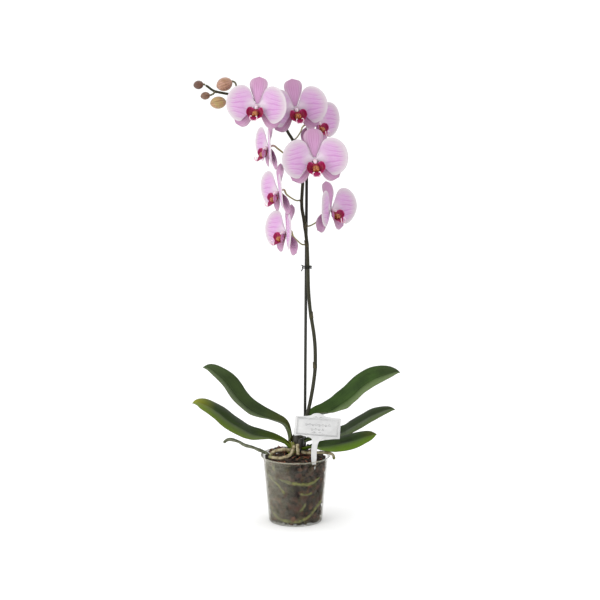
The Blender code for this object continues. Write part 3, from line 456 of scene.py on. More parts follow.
class Look:
    """A procedural material under construction."""

    def __init__(self, name, roughness=0.5, **inputs):
        self.material = bpy.data.materials.new(name)
        self.material.use_nodes = True
        self.tree = self.material.node_tree
        self.shader = self.tree.nodes["Principled BSDF"]
        self.shader.inputs["Roughness"].default_value = roughness
        for label, value in inputs.items():
            self.shader.inputs[label.replace("_", " ").title().replace("Ior", "IOR")].default_value = value

    def node(self, kind, **settings):
        made = self.tree.nodes.new(kind)
        for label, value in settings.items():
            setattr(made, label, value)
        return made

    def feed(self, socket, value):
        """Joins or sets a socket. Three numbers are a colour as shown on a screen."""
        if hasattr(value, "is_output"):
            self.tree.links.new(value, socket)
        elif value is not None:
            socket.default_value = srgb(*value) if isinstance(value, tuple) and len(value) == 3 else value

    def place(self, stretch=(1, 1, 1)):
        """Places in millimetres, stretched for patterns that run one way."""
        coordinates = self.node("ShaderNodeTexCoord")
        mapping = self.node("ShaderNodeMapping")
        mapping.inputs["Scale"].default_value = [1 / MM / value for value in stretch]
        self.feed(mapping.inputs["Vector"], coordinates.outputs["Object"])
        return mapping.outputs["Vector"]

    def trait(self, name):
        return self.node("ShaderNodeAttribute", attribute_name=name).outputs["Fac"]

    def math(self, operation, first, second=None, third=None, clamp=False):
        made = self.node("ShaderNodeMath", operation=operation, use_clamp=clamp)
        for socket, value in zip(made.inputs, (first, second, third)):
            self.feed(socket, value)
        return made.outputs["Value"]

    def joined(self, x=0.0, y=0.0, z=0.0):
        made = self.node("ShaderNodeCombineXYZ")
        for socket, value in zip(made.inputs, (x, y, z)):
            self.feed(socket, value)
        return made.outputs["Vector"]

    def noise(self, size, vector=None, detail=3.0, rough=0.55):
        """Soft noise whose lumps are about size across, in millimetres or in the vector's own unit."""
        made = self.node("ShaderNodeTexNoise")
        self.feed(made.inputs["Vector"], vector or self.place())
        made.inputs["Scale"].default_value = 1 / size
        made.inputs["Detail"].default_value = detail
        made.inputs["Roughness"].default_value = rough
        return made.outputs["Fac"]

    def cells(self, size):
        """Distance from the middles of cells of about the given size in millimetres."""
        made = self.node("ShaderNodeTexVoronoi")
        self.feed(made.inputs["Vector"], self.place())
        made.inputs["Scale"].default_value = 1 / size
        return made.outputs["Distance"]

    def ramp(self, value, *stops):
        """Grey or coloured steps: pairs of place and number, or place and colour."""
        made = self.node("ShaderNodeValToRGB")
        self.feed(made.inputs["Fac"], value)
        band = made.color_ramp
        while len(band.elements) < len(stops):
            band.elements.new(1.0)
        for element, (position, level) in zip(band.elements, stops):
            element.position = position
            element.color = srgb(*level) if isinstance(level, tuple) else (level, level, level, 1.0)
        return made.outputs["Color"]

    def mix(self, share, first, second, most=None):
        """Two colours mixed by a share, which may be scaled down to a most."""
        made = self.node("ShaderNodeMix", data_type="RGBA")
        self.feed(made.inputs[MIX_SHARE], share if most is None else self.math("MULTIPLY", share, most))
        self.feed(made.inputs[MIX_FIRST], first)
        self.feed(made.inputs[MIX_SECOND], second)
        return made.outputs[MIX_RESULT]

    def cover(self, colour, field, start, stop, most, tint):
        """The colour, covered by a tint as the field goes from start to stop, by the share most at the end."""
        return self.mix(self.ramp(field, (start, 0.0), (stop, most)), colour, tint)

    def bump(self, height, depth, before=None):
        """Relief of the given depth in millimetres."""
        made = self.node("ShaderNodeBump")
        made.inputs["Distance"].default_value = depth * MM
        self.feed(made.inputs["Height"], height)
        if before:
            self.feed(made.inputs["Normal"], before)
        return made.outputs["Normal"]

    def done(self, colour=None, normal=None, roughness=None, alpha=None):
        self.feed(self.shader.inputs["Base Color"], colour)
        if normal:
            self.feed(self.shader.inputs["Normal"], normal)
        if roughness is not None:
            self.feed(self.shader.inputs["Roughness"], roughness)
        if alpha is not None:
            self.feed(self.shader.inputs["Alpha"], alpha)
        return self.material


def veins(look, fan, out, count, seed):
    """Branching lines that run outward: fine ones join in between the strong ones near the margin."""
    wander = look.noise(0.22, look.joined(look.math("MULTIPLY", fan, 3.0), out, seed), detail=2)
    bent = look.math("MULTIPLY_ADD", wander, 0.035, fan)
    strong = look.math("SINE", look.math("MULTIPLY", bent, 2 * math.pi * count))
    fine = look.math("SINE", look.math("MULTIPLY", bent, 2 * math.pi * count * 2.0))
    strong = look.math("SMOOTH_MAX", look.math("MULTIPLY", look.math("SUBTRACT", strong, 0.5), 1.8), 0.0, 0.1)
    fine = look.math("SMOOTH_MAX", look.math("MULTIPLY", look.math("SUBTRACT", fine, 0.3), 1.0), 0.0, 0.1)
    outer = look.ramp(out, (0.35, 0.0), (0.7, 1.0))
    return look.math("ADD", strong, look.math("MULTIPLY", fine, outer), clamp=True)


def velvet(name, subsurface):
    """The soft skin of petals and sepals."""
    look = Look(name, roughness=0.6, subsurface_weight=subsurface, subsurface_scale=0.004, sheen_weight=0.05,
                sheen_roughness=0.5, specular_ior_level=0.3)
    look.shader.inputs["Subsurface Radius"].default_value = (1.0, 0.6, 0.9)
    return look


def petal_look(name, seed, middle, margin, vein):
    """Whitish at the claw, mauve in the middle, paler toward the margin, with fine lines across the middle."""
    look = velvet(name, 0.12)
    fan, out = look.trait("fan"), look.trait("out")
    shade = look.ramp(out, (0.0, (214, 200, 212)), (0.2, (200, 184, 198)), (0.4, middle), (0.66, middle),
                      (0.9, margin), (1.0, (198, 190, 194)))
    away = look.math("ABSOLUTE", look.math("SUBTRACT", fan, 0.5))
    shade = look.cover(shade, away, 0.16, 0.48, 0.75, margin)
    blotch = look.noise(9.0, detail=2)
    colour = look.cover(shade, blotch, 0.35, 0.75, 0.35, margin)
    level = look.math("MULTIPLY_ADD", look.trait("rise"), 0.65, look.math("MULTIPLY", fan, 0.35))
    lines = veins(look, level, out, 19, seed)
    strength = look.ramp(out, (0.2, 0.0), (0.45, 0.55), (0.75, 0.55), (0.92, 0.0))
    middle_band = look.ramp(fan, (0.2, 0.0), (0.42, 1.0), (0.6, 1.0), (0.8, 0.1))
    share = look.math("MULTIPLY", look.math("MULTIPLY", lines, strength), middle_band)
    colour = look.mix(share, colour, vein)
    return look.done(colour, look.bump(look.noise(0.5, detail=2), 0.05, look.bump(lines, 0.16)))


def sepal_look(name, seed, middle, margin, vein):
    """Mauve with lines along it and a duller tip; the lower two have a spotted purple base."""
    look = velvet(name, 0.1)
    across, out, low = look.trait("fan"), look.trait("out"), look.trait("low")
    edge = look.math("ABSOLUTE", look.math("SUBTRACT", look.math("MULTIPLY", across, 2.0), 1.0))
    shade = look.cover(middle, edge, 0.45, 0.98, 1.0, margin)
    tip = look.ramp(out, (0.0, 0.0), (0.5, 0.0), (1.0, 0.45))
    shade = look.mix(tip, shade, (148, 112, 128))
    lines = veins(look, across, out, 8, seed)
    strength = look.ramp(out, (0.0, 0.65), (0.6, 0.5), (1.0, 0.1))
    colour = look.mix(look.math("MULTIPLY", lines, strength), shade, vein)
    spots = look.ramp(look.cells(1.5), (0.12, 1.0), (0.34, 0.0))
    zone = look.math("MULTIPLY", low, look.ramp(out, (0.3, 1.0), (0.78, 0.0)))
    base = look.mix(zone, colour, (118, 58, 84), most=0.8)
    colour = look.mix(look.math("MULTIPLY", spots, zone), base, (78, 26, 40))
    return look.done(colour, look.bump(look.noise(0.5, detail=2), 0.05, look.bump(lines, 0.16)))


def lobe_look():
    look = Look("lip_crimson", roughness=0.45, subsurface_weight=0.04, subsurface_scale=0.002,
                specular_ior_level=0.3)
    out, fan, back = look.trait("out"), look.trait("fan"), look.trait("back")
    lines = veins(look, fan, out, 9, 3.1)
    inner = look.ramp(out, (0.0, (128, 40, 36)), (0.25, (144, 14, 66)), (0.8, (166, 26, 98)),
                      (1.0, (190, 104, 148)))
    inner = look.mix(lines, inner, (76, 4, 22), most=0.5)
    outer = look.ramp(out, (0.0, (198, 164, 184)), (0.6, (170, 92, 142)), (1.0, (186, 140, 166)))
    colour = look.mix(back, inner, outer)
    blotch = look.noise(2.2)
    colour = look.cover(colour, blotch, 0.5, 0.8, 0.4, (160, 30, 84))
    return look.done(colour, look.bump(lines, 0.12))


def callus_look():
    look = Look("lip_callus", roughness=0.4)
    tiger = look.noise(1.1, look.place((1.0, 1.0, 2.4)), detail=2)
    colour = look.cover((186, 118, 50), tiger, 0.44, 0.56, 0.9, (98, 24, 20))
    dots = look.ramp(look.cells(1.1), (0.2, 1.0), (0.36, 0.0))
    colour = look.mix(dots, colour, (84, 14, 20), most=0.8)
    return look.done(colour, look.bump(tiger, 0.15))


def column_look():
    look = Look("column_white", roughness=0.36, subsurface_weight=0.1, subsurface_scale=0.002)
    out = look.trait("out")
    flush = look.ramp(out, (0.0, (160, 96, 130)), (0.5, (196, 164, 180)), (1.0, (212, 192, 200)))
    colour = look.cover(flush, look.noise(1.6), 0.5, 0.8, 0.5, (172, 108, 146))
    return look.done(colour, look.bump(look.noise(0.8), 0.08))


def whisker_look():
    look = Look("lip_whisker", roughness=0.16, coat_weight=0.6, coat_roughness=0.08)
    colour = look.ramp(look.trait("out"), (0.0, (150, 50, 84)), (0.35, (206, 160, 180)), (1.0, (226, 216, 216)))
    colour = look.cover(colour, look.noise(1.0), 0.5, 0.8, 0.3, (200, 140, 170))
    return look.done(colour, look.bump(look.noise(0.6), 0.04))


def leaf_look(name, dark, mid, base, edge, tip):
    """A waxy blade: parallel veins, painted shade in the midrib groove, a painted highlight along the margin
    nearer the camera, its own colours at base and tip.
    """
    look = Look(name, roughness=0.5, specular_ior_level=0.14)
    out, fan = look.trait("out"), look.trait("fan")
    from_middle = look.math("ABSOLUTE", look.math("MULTIPLY_ADD", fan, 2.0, -1.0))
    patch = look.noise(16.0, look.place((2.2, 1.0, 1.6)), detail=4)
    colour = look.cover(dark, patch, 0.3, 0.7, 1.0, mid)
    colour = look.mix(look.ramp(out, (0.02, 1.0), (0.17, 0.55), (0.34, 0.0)), colour, base)
    colour = look.cover(colour, out, 0.78, 0.97, 0.8, tip)
    # painted highlight: the margin nearer the camera is lightened toward the edge colour, standing for the
    # sheen seen there
    near = look.ramp(fan, (0.04, 1.0), (0.34, 0.55), (0.5, 0.0))
    colour = look.mix(near, colour, edge, most=0.85)
    lines = look.noise(0.018, look.joined(fan, look.math("MULTIPLY", out, 0.03)), detail=2)
    colour = look.cover(colour, lines, 0.45, 0.75, 0.22, (84, 104, 50))
    # painted shade: the midrib groove is darkened where shade falls in the crease
    painted_groove_shade = look.ramp(from_middle, (0.0, 1.0), (0.05, 0.0))
    colour = look.mix(painted_groove_shade, colour, (22, 34, 8), most=0.5)
    rim = look.ramp(from_middle, (0.955, 0.0), (0.99, 1.0))
    colour = look.mix(rim, colour, (66, 52, 34), most=0.5)
    normal = look.bump(look.cells(0.9), 0.03, look.bump(lines, 0.10))
    gloss = look.ramp(patch, (0.3, 0.42), (0.7, 0.56))
    return look.done(colour, normal, roughness=gloss)


def bark_look():
    look = Look("bark_chips", roughness=0.85)
    tone = look.trait("tone")
    colour = look.ramp(tone, (0.0, (18, 12, 8)), (0.35, (36, 23, 15)), (0.6, (72, 38, 25)),
                       (0.8, (112, 72, 50)), (1.0, (150, 132, 106)))
    grain = look.noise(1.3, look.place((3.5, 3.5, 1.0)), detail=5, rough=0.7)
    colour = look.cover(colour, grain, 0.35, 0.75, 0.75, (26, 17, 12))
    flecks, moss = look.noise(0.7, detail=2), look.noise(16.0)
    colour = look.cover(colour, flecks, 0.62, 0.72, 0.5, (112, 84, 62))
    colour = look.cover(colour, moss, 0.5, 0.66, 0.55, (62, 62, 24))
    return look.done(colour, look.bump(grain, 0.9), roughness=look.ramp(grain, (0.2, 0.7), (0.8, 0.95)))


def core_look():
    look = Look("bark_core", roughness=0.95)
    clump = look.noise(7.0, detail=5, rough=0.65)
    colour = look.ramp(clump, (0.25, (12, 9, 7)), (0.5, (22, 15, 11)), (0.75, (40, 28, 20)))
    return look.done(colour, look.bump(clump, 3.0))


def fibre_look():
    look = Look("bark_fibre", roughness=0.75)
    colour = look.cover((120, 58, 40), look.noise(2.0), 0.35, 0.65, 1.0, (176, 110, 76))
    return look.done(colour, look.bump(look.noise(0.4), 0.1))


def root_look(name, skin, shade, tip, dapple):
    """Velamen: silvery spongy skin with green showing where it is damp, and a bare green tip."""
    look = Look(name, roughness=0.62)
    out = look.trait("out")
    damp = look.noise(5.0, detail=4)
    colour = look.cover(skin, damp, 0.4, 0.6, 1.0, shade)
    fine = look.noise(0.7)
    colour = look.cover(colour, fine, 0.45, 0.8, 0.5, dapple)
    colour = look.cover(colour, out, 0.86, 0.96, 1.0, tip)
    return look.done(colour, look.bump(look.cells(1.3), 0.1, look.bump(fine, 0.12)))


def stem_look(name, low, high, scar):
    look = Look(name, roughness=0.5, specular_ior_level=0.2)
    out = look.trait("out")
    mottle = look.noise(4.0, look.place((1, 1, 4)), detail=4)
    colour = look.cover(low, out, 0.0, 1.0, 1.0, high)
    colour = look.cover(colour, mottle, 0.4, 0.75, 0.65, scar)
    speckle = look.noise(0.6, detail=2)
    colour = look.cover(colour, speckle, 0.6, 0.72, 0.35, (100, 102, 80))
    return look.done(colour, look.bump(mottle, 0.2))


def bud_look(name, first, second, edge):
    look = Look(name, roughness=0.42, sheen_weight=0.15, subsurface_weight=0.05, subsurface_scale=0.003)
    fan, out, seam = look.trait("fan"), look.trait("out"), look.trait("seam")
    lines = veins(look, fan, out, 16, 0.7)
    colour = look.cover(first, look.noise(5.0), 0.4, 0.65, 1.0, second)
    colour = look.mix(lines, colour, edge, most=0.6)
    colour = look.mix(seam, colour, edge, most=0.7)
    stalk = look.ramp(out, (0.02, 1.0), (0.1, 0.0))
    colour = look.mix(stalk, colour, (88, 84, 52))
    return look.done(colour, look.bump(lines, 0.15))


def pot_look():
    """Clear plastic, hazy with condensation in many fine droplets, with a painted reflection as extra haze
    toward the left and a painted highlight as extra haze along the rim.
    """
    look = Look("clear_plastic", roughness=0.14, ior=1.49, specular_ior_level=0.3)
    mist = look.noise(14.0, detail=4)
    fine = look.cells(1.1)
    position = look.node("ShaderNodeSeparateXYZ")
    look.feed(position.inputs["Vector"], look.place())
    across = look.math("MULTIPLY_ADD", position.outputs["X"], 0.008, 0.5)
    layer = look.node("ShaderNodeLayerWeight")
    layer.inputs["Blend"].default_value = 0.35
    facing_away = layer.outputs["Facing"]
    rim, foot = look.trait("rim"), look.trait("foot")
    drops = look.math("MULTIPLY", look.ramp(fine, (0.12, 1.0), (0.32, 0.0)),
                      look.ramp(mist, (0.3, 0.2), (0.65, 1.0)))
    # painted reflection: extra haze toward the left of the pot stands for the reflection on that side
    left = look.math("MULTIPLY", look.ramp(across, (0.05, 1.0), (0.5, 0.0)),
                     look.ramp(mist, (0.3, 0.4), (0.6, 1.0)))
    edge = look.ramp(facing_away, (0.45, 0.0), (0.95, 1.0))
    scuff = look.noise(3.0, look.place((6, 6, 1)))
    colour = look.cover((176, 174, 156), scuff, 0.4, 0.7, 0.4, (120, 116, 100))
    colour = look.mix(foot, look.mix(edge, colour, (104, 96, 90)), (60, 58, 50))
    haze_and_painted_light = 0.004
    # the rim's share is a painted highlight along the rolled rim; the left share is a painted reflection
    for field, share in ((look.ramp(mist, (0.35, 0.0), (0.7, 1.0)), 0.02), (drops, 0.14), (left, 0.24),
                         (facing_away, 0.02), (rim, 0.38), (edge, 0.6), (foot, 0.6)):
        haze_and_painted_light = look.math("MULTIPLY_ADD", field, share, haze_and_painted_light, clamp=True)
    return look.done(colour, look.bump(fine, 0.05), alpha=haze_and_painted_light)


def stake_look():
    look = Look("stake_plastic", roughness=0.45, specular_ior_level=0.2)
    streak = look.noise(1.2, look.place((1, 1, 40)))
    colour = look.cover((15, 16, 13), streak, 0.35, 0.7, 1.0, (29, 30, 24))
    # painted highlight: a lighter stripe down the side facing the camera and the key light
    colour = look.mix(look.trait("band"), colour, (70, 70, 60), most=0.6)
    return look.done(colour, look.bump(streak, 0.12))


def tie_look():
    look = Look("tie_wire", roughness=0.5, specular_ior_level=0.2)
    wear = look.noise(1.4)
    return look.done(look.cover((14, 16, 12), wear, 0.4, 0.7, 1.0, (32, 36, 28)), look.bump(wear, 0.1))


def tag_look():
    look = Look("tag_card", roughness=0.42, coat_weight=0.1, coat_roughness=0.3)
    fibre = look.noise(1.2, detail=4)
    colour = look.cover((186, 186, 186), look.noise(18.0, detail=2), 0.35, 0.7, 1.0, (199, 199, 198))
    colour = look.cover(colour, fibre, 0.5, 0.8, 0.25, (172, 172, 171))
    return look.done(colour, look.bump(fibre, 0.03))


def print_look():
    look = Look("tag_print", roughness=0.5)
    return look.done(look.cover((62, 62, 64), look.noise(0.8), 0.4, 0.75, 0.6, (100, 100, 102)))


# ---------------------------------------------------------------- pot and its filling

def wall_inside(height):
    outer = POT_BASE_RADIUS + (POT_WALL_RADIUS - POT_BASE_RADIUS) * height / (POT_HEIGHT - RIM_HEIGHT)
    return outer - POT_WALL


def make_pot(surface):
    """The clear pot: a thin lathe form with a flared rim that is rolled at the top, and open drain holes."""
    under_rim = POT_HEIGHT - RIM_HEIGHT
    outer = [(0.02, 0), (30, 0), (POT_BASE_RADIUS - 2.6, 0), (POT_BASE_RADIUS - 1, 0.45),
             (POT_BASE_RADIUS - 0.2, 1.5), (POT_BASE_RADIUS + 0.1, 3)]
    outer += [(POT_BASE_RADIUS + (POT_WALL_RADIUS - POT_BASE_RADIUS) * share, under_rim * share)
              for share in np.linspace(0.08, 1, 12)]
    outer += [(POT_WALL_RADIUS + 0.5, under_rim + 2.4), (POT_WALL_RADIUS + 1.1, under_rim + 4.8),
              (POT_RIM_RADIUS - 2.8, under_rim + 6.8), (POT_RIM_RADIUS - 0.9, POT_HEIGHT - 1.8),
              (POT_RIM_RADIUS, POT_HEIGHT - 1.2), (POT_RIM_RADIUS + 0.1, POT_HEIGHT - 0.6),
              (POT_RIM_RADIUS - 0.3, POT_HEIGHT), (POT_RIM_RADIUS - 1.3, POT_HEIGHT),
              (POT_RIM_RADIUS - 2.2, POT_HEIGHT - 0.7), (POT_RIM_RADIUS - 3.8, POT_HEIGHT - 2.4),
              (POT_WALL_RADIUS - 0.1, under_rim + 5), (POT_WALL_RADIUS - 0.8, under_rim + 2.2)]
    inner = [(wall_inside(under_rim * share), under_rim * share) for share in np.linspace(1, 0.05, 12)]
    inner += [(POT_BASE_RADIUS - POT_WALL - 0.3, 3.2), (POT_BASE_RADIUS - POT_WALL - 1.4, 1.9),
              (POT_BASE_RADIUS - POT_WALL - 3, POT_WALL), (30, POT_WALL), (0.02, POT_WALL)]
    profile = np.array(outer + inner)
    segments = 144
    points = lathe(profile[:, :1], profile[:, 1:], segments)
    # the rim trait marks the rolled rim, where the pot's material paints a highlight
    rim = smooth_step(POT_HEIGHT - 3.2, POT_HEIGHT - 1.4, points[:, 2])
    foot = (smooth_step(1.8, 0.4, points[:, 2])
            * smooth_step(POT_BASE_RADIUS - 5, POT_BASE_RADIUS - 2, np.hypot(points[:, 0], points[:, 1])))
    shape = Shape()
    shape.add(points, ring_faces(len(profile), segments), rim=rim, foot=foot)
    pot = shape.make("clear_pot", [surface], "pot")
    cutters = []
    for index in range(DRAIN_HOLES):
        angle = 2 * math.pi * (index + 0.5) / DRAIN_HOLES
        centre = np.array([DRAIN_RING_RADIUS * math.cos(angle), DRAIN_RING_RADIUS * math.sin(angle), 0])
        path = np.array([centre - [0, 0, 2], centre + [0, 0, POT_WALL + 2]])
        points, faces, _, _ = tube(path, [DRAIN_HOLE_RADIUS] * 2, sides=24)
        mesh = bpy.data.meshes.new("drain_cutter")
        mesh.from_pydata((points * MM).tolist(), [], faces)
        cutter = placed("drain_cutter", mesh)
        boolean = pot.modifiers.new("drain", "BOOLEAN")
        boolean.operation = "DIFFERENCE"
        boolean.solver = "EXACT"
        boolean.object = cutter
        cutters.append(cutter)
    bpy.context.view_layer.update()
    graph = bpy.context.evaluated_depsgraph_get()
    drilled = bpy.data.meshes.new_from_object(pot.evaluated_get(graph))
    pot.modifiers.clear()
    pot.data = drilled
    for cutter in cutters:
        bpy.data.objects.remove(cutter, do_unlink=True)


def bark_height(x, y):
    heap = 9 * np.exp(-((x + 32) ** 2 + (y - 16) ** 2) / 420)
    middle = 12 * np.exp(-(x * x + y * y) / 900)
    return BARK_TOP + heap + middle + 1.3 * np.sin(0.21 * x + 0.8) * np.sin(0.19 * y - 0.4)


def chip(rng, centre, size, upright):
    """One splinter of bark: a flat, broken, many-sided lump turned at random."""
    theta = np.array([0.0, 0.9, 1.57, 2.2, 3.1416])
    points = []
    segments = 7
    lean = rng.uniform(0.75, 1.25, (len(theta), segments))
    for ring, angle in enumerate(theta):
        for step in range(segments):
            turn = 2 * math.pi * (step + 0.5 * (ring % 2)) / segments
            width = max(math.sin(angle), 0.08) ** 0.6 * lean[ring, step]
            points.append((width * math.cos(turn), width * math.sin(turn), math.cos(angle) * 0.9))
    points = np.array(points) * np.array([size, size * rng.uniform(0.45, 0.8), size * rng.uniform(0.22, 0.42)])

    def any_turn(tip):
        return Euler((rng.uniform(-tip, tip), rng.uniform(-tip, tip), rng.uniform(0, 6.28))).to_matrix()

    spin = any_turn(0.5)
    if upright is not None:
        spin = Euler((math.pi / 2, 0, upright)).to_matrix() @ any_turn(0.25)
    return points @ np.array(spin).T + centre, ring_faces(len(theta), segments)


def wall_limit(points):
    """How far from the pot's axis the points may lie, clear of the wall inside."""
    return wall_inside(points[:, 2].clip(2, 108)) - 0.5


def pull_in(points, limit):
    """Brings points that lie beyond the limit back to it, toward the pot's axis."""
    spread = np.hypot(points[:, 0], points[:, 1])
    points[:, :2] *= np.minimum(1, limit / spread)[:, None]


def make_bark(chips, core, fibre):
    """The filling: a dark core, chips flat against the clear wall, chips heaped on top, and loose fibres."""
    rng = np.random.default_rng(11)
    shape = Shape()
    rings = [(0.02, 3), (38, 3), (wall_inside(4) - 3.2, 4)]
    rings += [(wall_inside(z) - CORE_GAP, z) for z in range(8, 108, 6)]
    rings += [(47, 107), (40, 107.5), (30, 109), (20, 113), (9, 117), (0.02, 118)]
    rings = np.array(rings, float)
    segments = 72
    rough = rng.uniform(-1.6, 1.6, (len(rings), segments))
    radius = np.maximum(rings[:, :1] + rough * (rings[:, :1] > 5), 0.02)
    height = rings[:, 1:] + rough[:, ::-1] * (rings[:, :1] > 5)
    shape.add(lathe(radius, height, segments), ring_faces(len(rings), segments), kind=1)
    for _ in range(WALL_CHIPS):
        turn = rng.uniform(0, 2 * math.pi)
        z = rng.uniform(4, 106)
        size = rng.uniform(3.5, 8.5)
        reach = wall_inside(z) - 0.8 - size * 0.42
        tone = float(np.clip(rng.normal(0.42, 0.2), 0, 0.85))
        points, faces = chip(rng, np.array([reach * math.cos(turn), reach * math.sin(turn), z]), size,
                             turn + math.pi / 2)
        pull_in(points, wall_limit(points))
        points[:, 2] = points[:, 2].clip(POT_WALL + 0.3, 112)
        shape.add(points, faces, tone=tone)
    for _ in range(TOP_CHIPS):
        turn = rng.uniform(0, 2 * math.pi)
        share = math.sqrt(rng.uniform(0, 1))
        reach = share * 50
        x, y = reach * math.cos(turn), reach * math.sin(turn)
        size = rng.uniform(3.5, 9)
        z = bark_height(x, y) + rng.uniform(-4.5, -0.5)
        tone = float(np.clip(rng.normal(0.38, 0.2), 0, 0.85))
        points, faces = chip(rng, np.array([x, y, z]), size, None)
        in_rim = points[:, 2] > POT_HEIGHT - RIM_HEIGHT
        pull_in(points, np.where(in_rim, POT_WALL_RADIUS - 2.0, wall_limit(points)))
        shape.add(points, faces, tone=tone)
    for _ in range(FIBRES):
        turn = rng.uniform(0, 2 * math.pi)
        reach = 48 * math.sqrt(rng.uniform(0, 1))
        x, y = reach * math.cos(turn), reach * math.sin(turn)
        start = np.array([x, y, bark_height(x, y) + rng.uniform(-0.5, 1.5)])
        heading = rng.normal(0, 1, 3) * [1, 1, 0.25]
        bend = rng.normal(0, 1, 3) * [1, 1, 0.3]
        steps = np.linspace(0, 1, 9)[:, None]
        path = start + heading / np.linalg.norm(heading) * steps * rng.uniform(7, 16) + bend * 3 * steps ** 2
        pull_in(path, 52)
        points, faces, _, _ = tube(path, rng.uniform(0.25, 0.5), sides=5)
        shape.add(points, faces, kind=2)
    shape.make("bark_filling", [chips, core, fibre], "bark_medium")


def wobble(seed, count):
    """A smooth random row of numbers about 0."""
    window = 13
    draws = np.random.default_rng(seed).normal(0, 1, count + window - 1)
    return np.convolve(draws, np.ones(window) / window, "valid")


def make_root(name, surface):
    """A free root: uneven in girth and dented along its length, with a round tip."""
    route, radius = ROOTS[name]
    count, sides = 120, 16
    path = along(route, count)
    radii = radius * (1 + 0.22 * wobble(len(name) * 7 + int(route[-1][0]) % 13, count))
    dents = 1 + 0.035 * np.sin(np.arange(sides)[None, :] * 1.9 + np.arange(count)[:, None] * 0.35)
    radii = rounded(path, radii, start=False)[:, None] * dents
    points, faces, out, _ = tube(path, radii, sides)
    shape = Shape()
    shape.add(points, faces, out=out)
    shape.make(name + "_skin", [surface], name)


def wall_path(route, radius, count):
    places = spline_points(route, count)
    reach = wall_inside(places[:, 1]) - radius - WALL_ROOT_CLEARANCE
    turn = np.radians(places[:, 0])
    return np.stack([reach * np.sin(turn), -reach * np.cos(turn), places[:, 1]], axis=1)


def make_wall_root(name, surface):
    route, radius = WALL_ROOTS[name]
    count = 90
    path = wall_path(route, radius, count)
    girth = radius * (1 + 0.2 * wobble(int(route[0][1]), count))
    points, faces, out, _ = tube(path, rounded(path, girth), 14)
    shape = Shape()
    shape.add(points, faces, out=out * 0.8)
    shape.make(name + "_skin", [surface], name)


FRESH, OLD_IN_SHADE = 1.4, 1.9  # what the trait "out" says of a sheath's age; on the stem itself it stays below 1; the old sheaths are coloured near-black, their own brown darkened as painted shade between the leaf bases
SHEATHS = [  # middle of each leaf's clasping base, its reach at the bottom and the top, and its age
    ([(-9.4, -2.4, 116), (-9.8, -3.0, 124), (-10.4, -3.4, 132), (-12.6, -3.4, 141)], 10.4, 8.2, FRESH),
    ([(-9.0, -6.4, 112), (-11.4, -7.2, 118), (-14.4, -6.8, 123), (-18.4, -6.0, 127)], 9.6, 6.4, FRESH),
    ([(13.0, 1, 110), (13.4, 1, 120), (14.4, 1.4, 132), (16.0, 2.4, 146)], 11.0, 9.6, OLD_IN_SHADE),
    ([(19.0, 6, 108), (20.0, 6, 116), (22.0, 6.4, 124), (24.0, 7.0, 131)], 11.0, 7.4, OLD_IN_SHADE),
]


def make_crown(surface):
    """The short stem: sheathing bases of old leaves lapped over one another, left and right in turn."""
    count, sides = 60, 48
    stations = spline_points([(radius, height) for height, radius in CROWN_STATIONS], count)
    height = stations[:, 1:]
    angles = circle(sides)
    laps = np.zeros((count, sides))
    for index, level in enumerate(CROWN_LAPS):
        edge = level + (-7 if index % 2 else 7) * np.cos(angles)
        laps += 0.275 * smooth_step(edge + 0.8, edge - 0.4, height)
    radius = stations[:, :1] * (0.93 + 0.02 * np.sin(3 * angles)) + laps - 0.5
    radius[-1] *= 0.6
    shape = Shape()
    shape.add(lathe(radius, height, sides, CROWN_WIDENING, CROWN_MIDDLE_X), ring_faces(count, sides),
              out=np.repeat(np.linspace(0, 1, count), sides))
    rows, columns = 26, 19
    share = np.linspace(0, 1, rows)[:, None]
    wrap = np.radians(np.linspace(-116, 70, columns))[None, :]
    for route, first, last, age in SHEATHS:
        side = -1 if route[-1][0] < 0 else 1
        reach = first + (last - first) * share
        bend = np.stack([side * reach * (np.cos(wrap) - 1) * 0.8, reach * np.sin(wrap),
                         np.zeros((rows, columns))], axis=-1)
        points, faces = closed_sheet(along(route, rows)[:, None, :] + bend, 1.2)
        shape.add(points, faces, out=age)
    shape.make("crown_sheaths", [surface], "crown")


def crown_look():
    look = Look("crown_green", roughness=0.45)
    out = look.trait("out")
    # partly own brown, partly painted shade: the stem darkens toward its top under the leaves, and the old
    # sheaths take the darkest colour as painted shade
    colour = look.ramp(out, (0.0, (40, 32, 20)), (0.45, (46, 42, 24)), (0.8, (24, 24, 14)))
    fresh = look.math("COMPARE", out, FRESH, 0.2)
    colour = look.mix(fresh, colour, (104, 108, 24))
    rib = look.noise(1.0, look.place((1, 1, 9)))
    colour = look.cover(colour, rib, 0.4, 0.75, 0.6, (36, 30, 16))
    scar = look.noise(5.0)
    colour = look.cover(colour, scar, 0.55, 0.7, 0.5, (74, 46, 34))
    return look.done(colour, look.bump(rib, 0.25))


# ---------------------------------------------------------------- leaves

def profile_at(table, places, count=400):
    """A smooth reading of a table of place and value, for a column of places."""
    fine = spline_points(table, count)
    return np.interp(places[:, 0], fine[:, 0], fine[:, 1])[:, None]


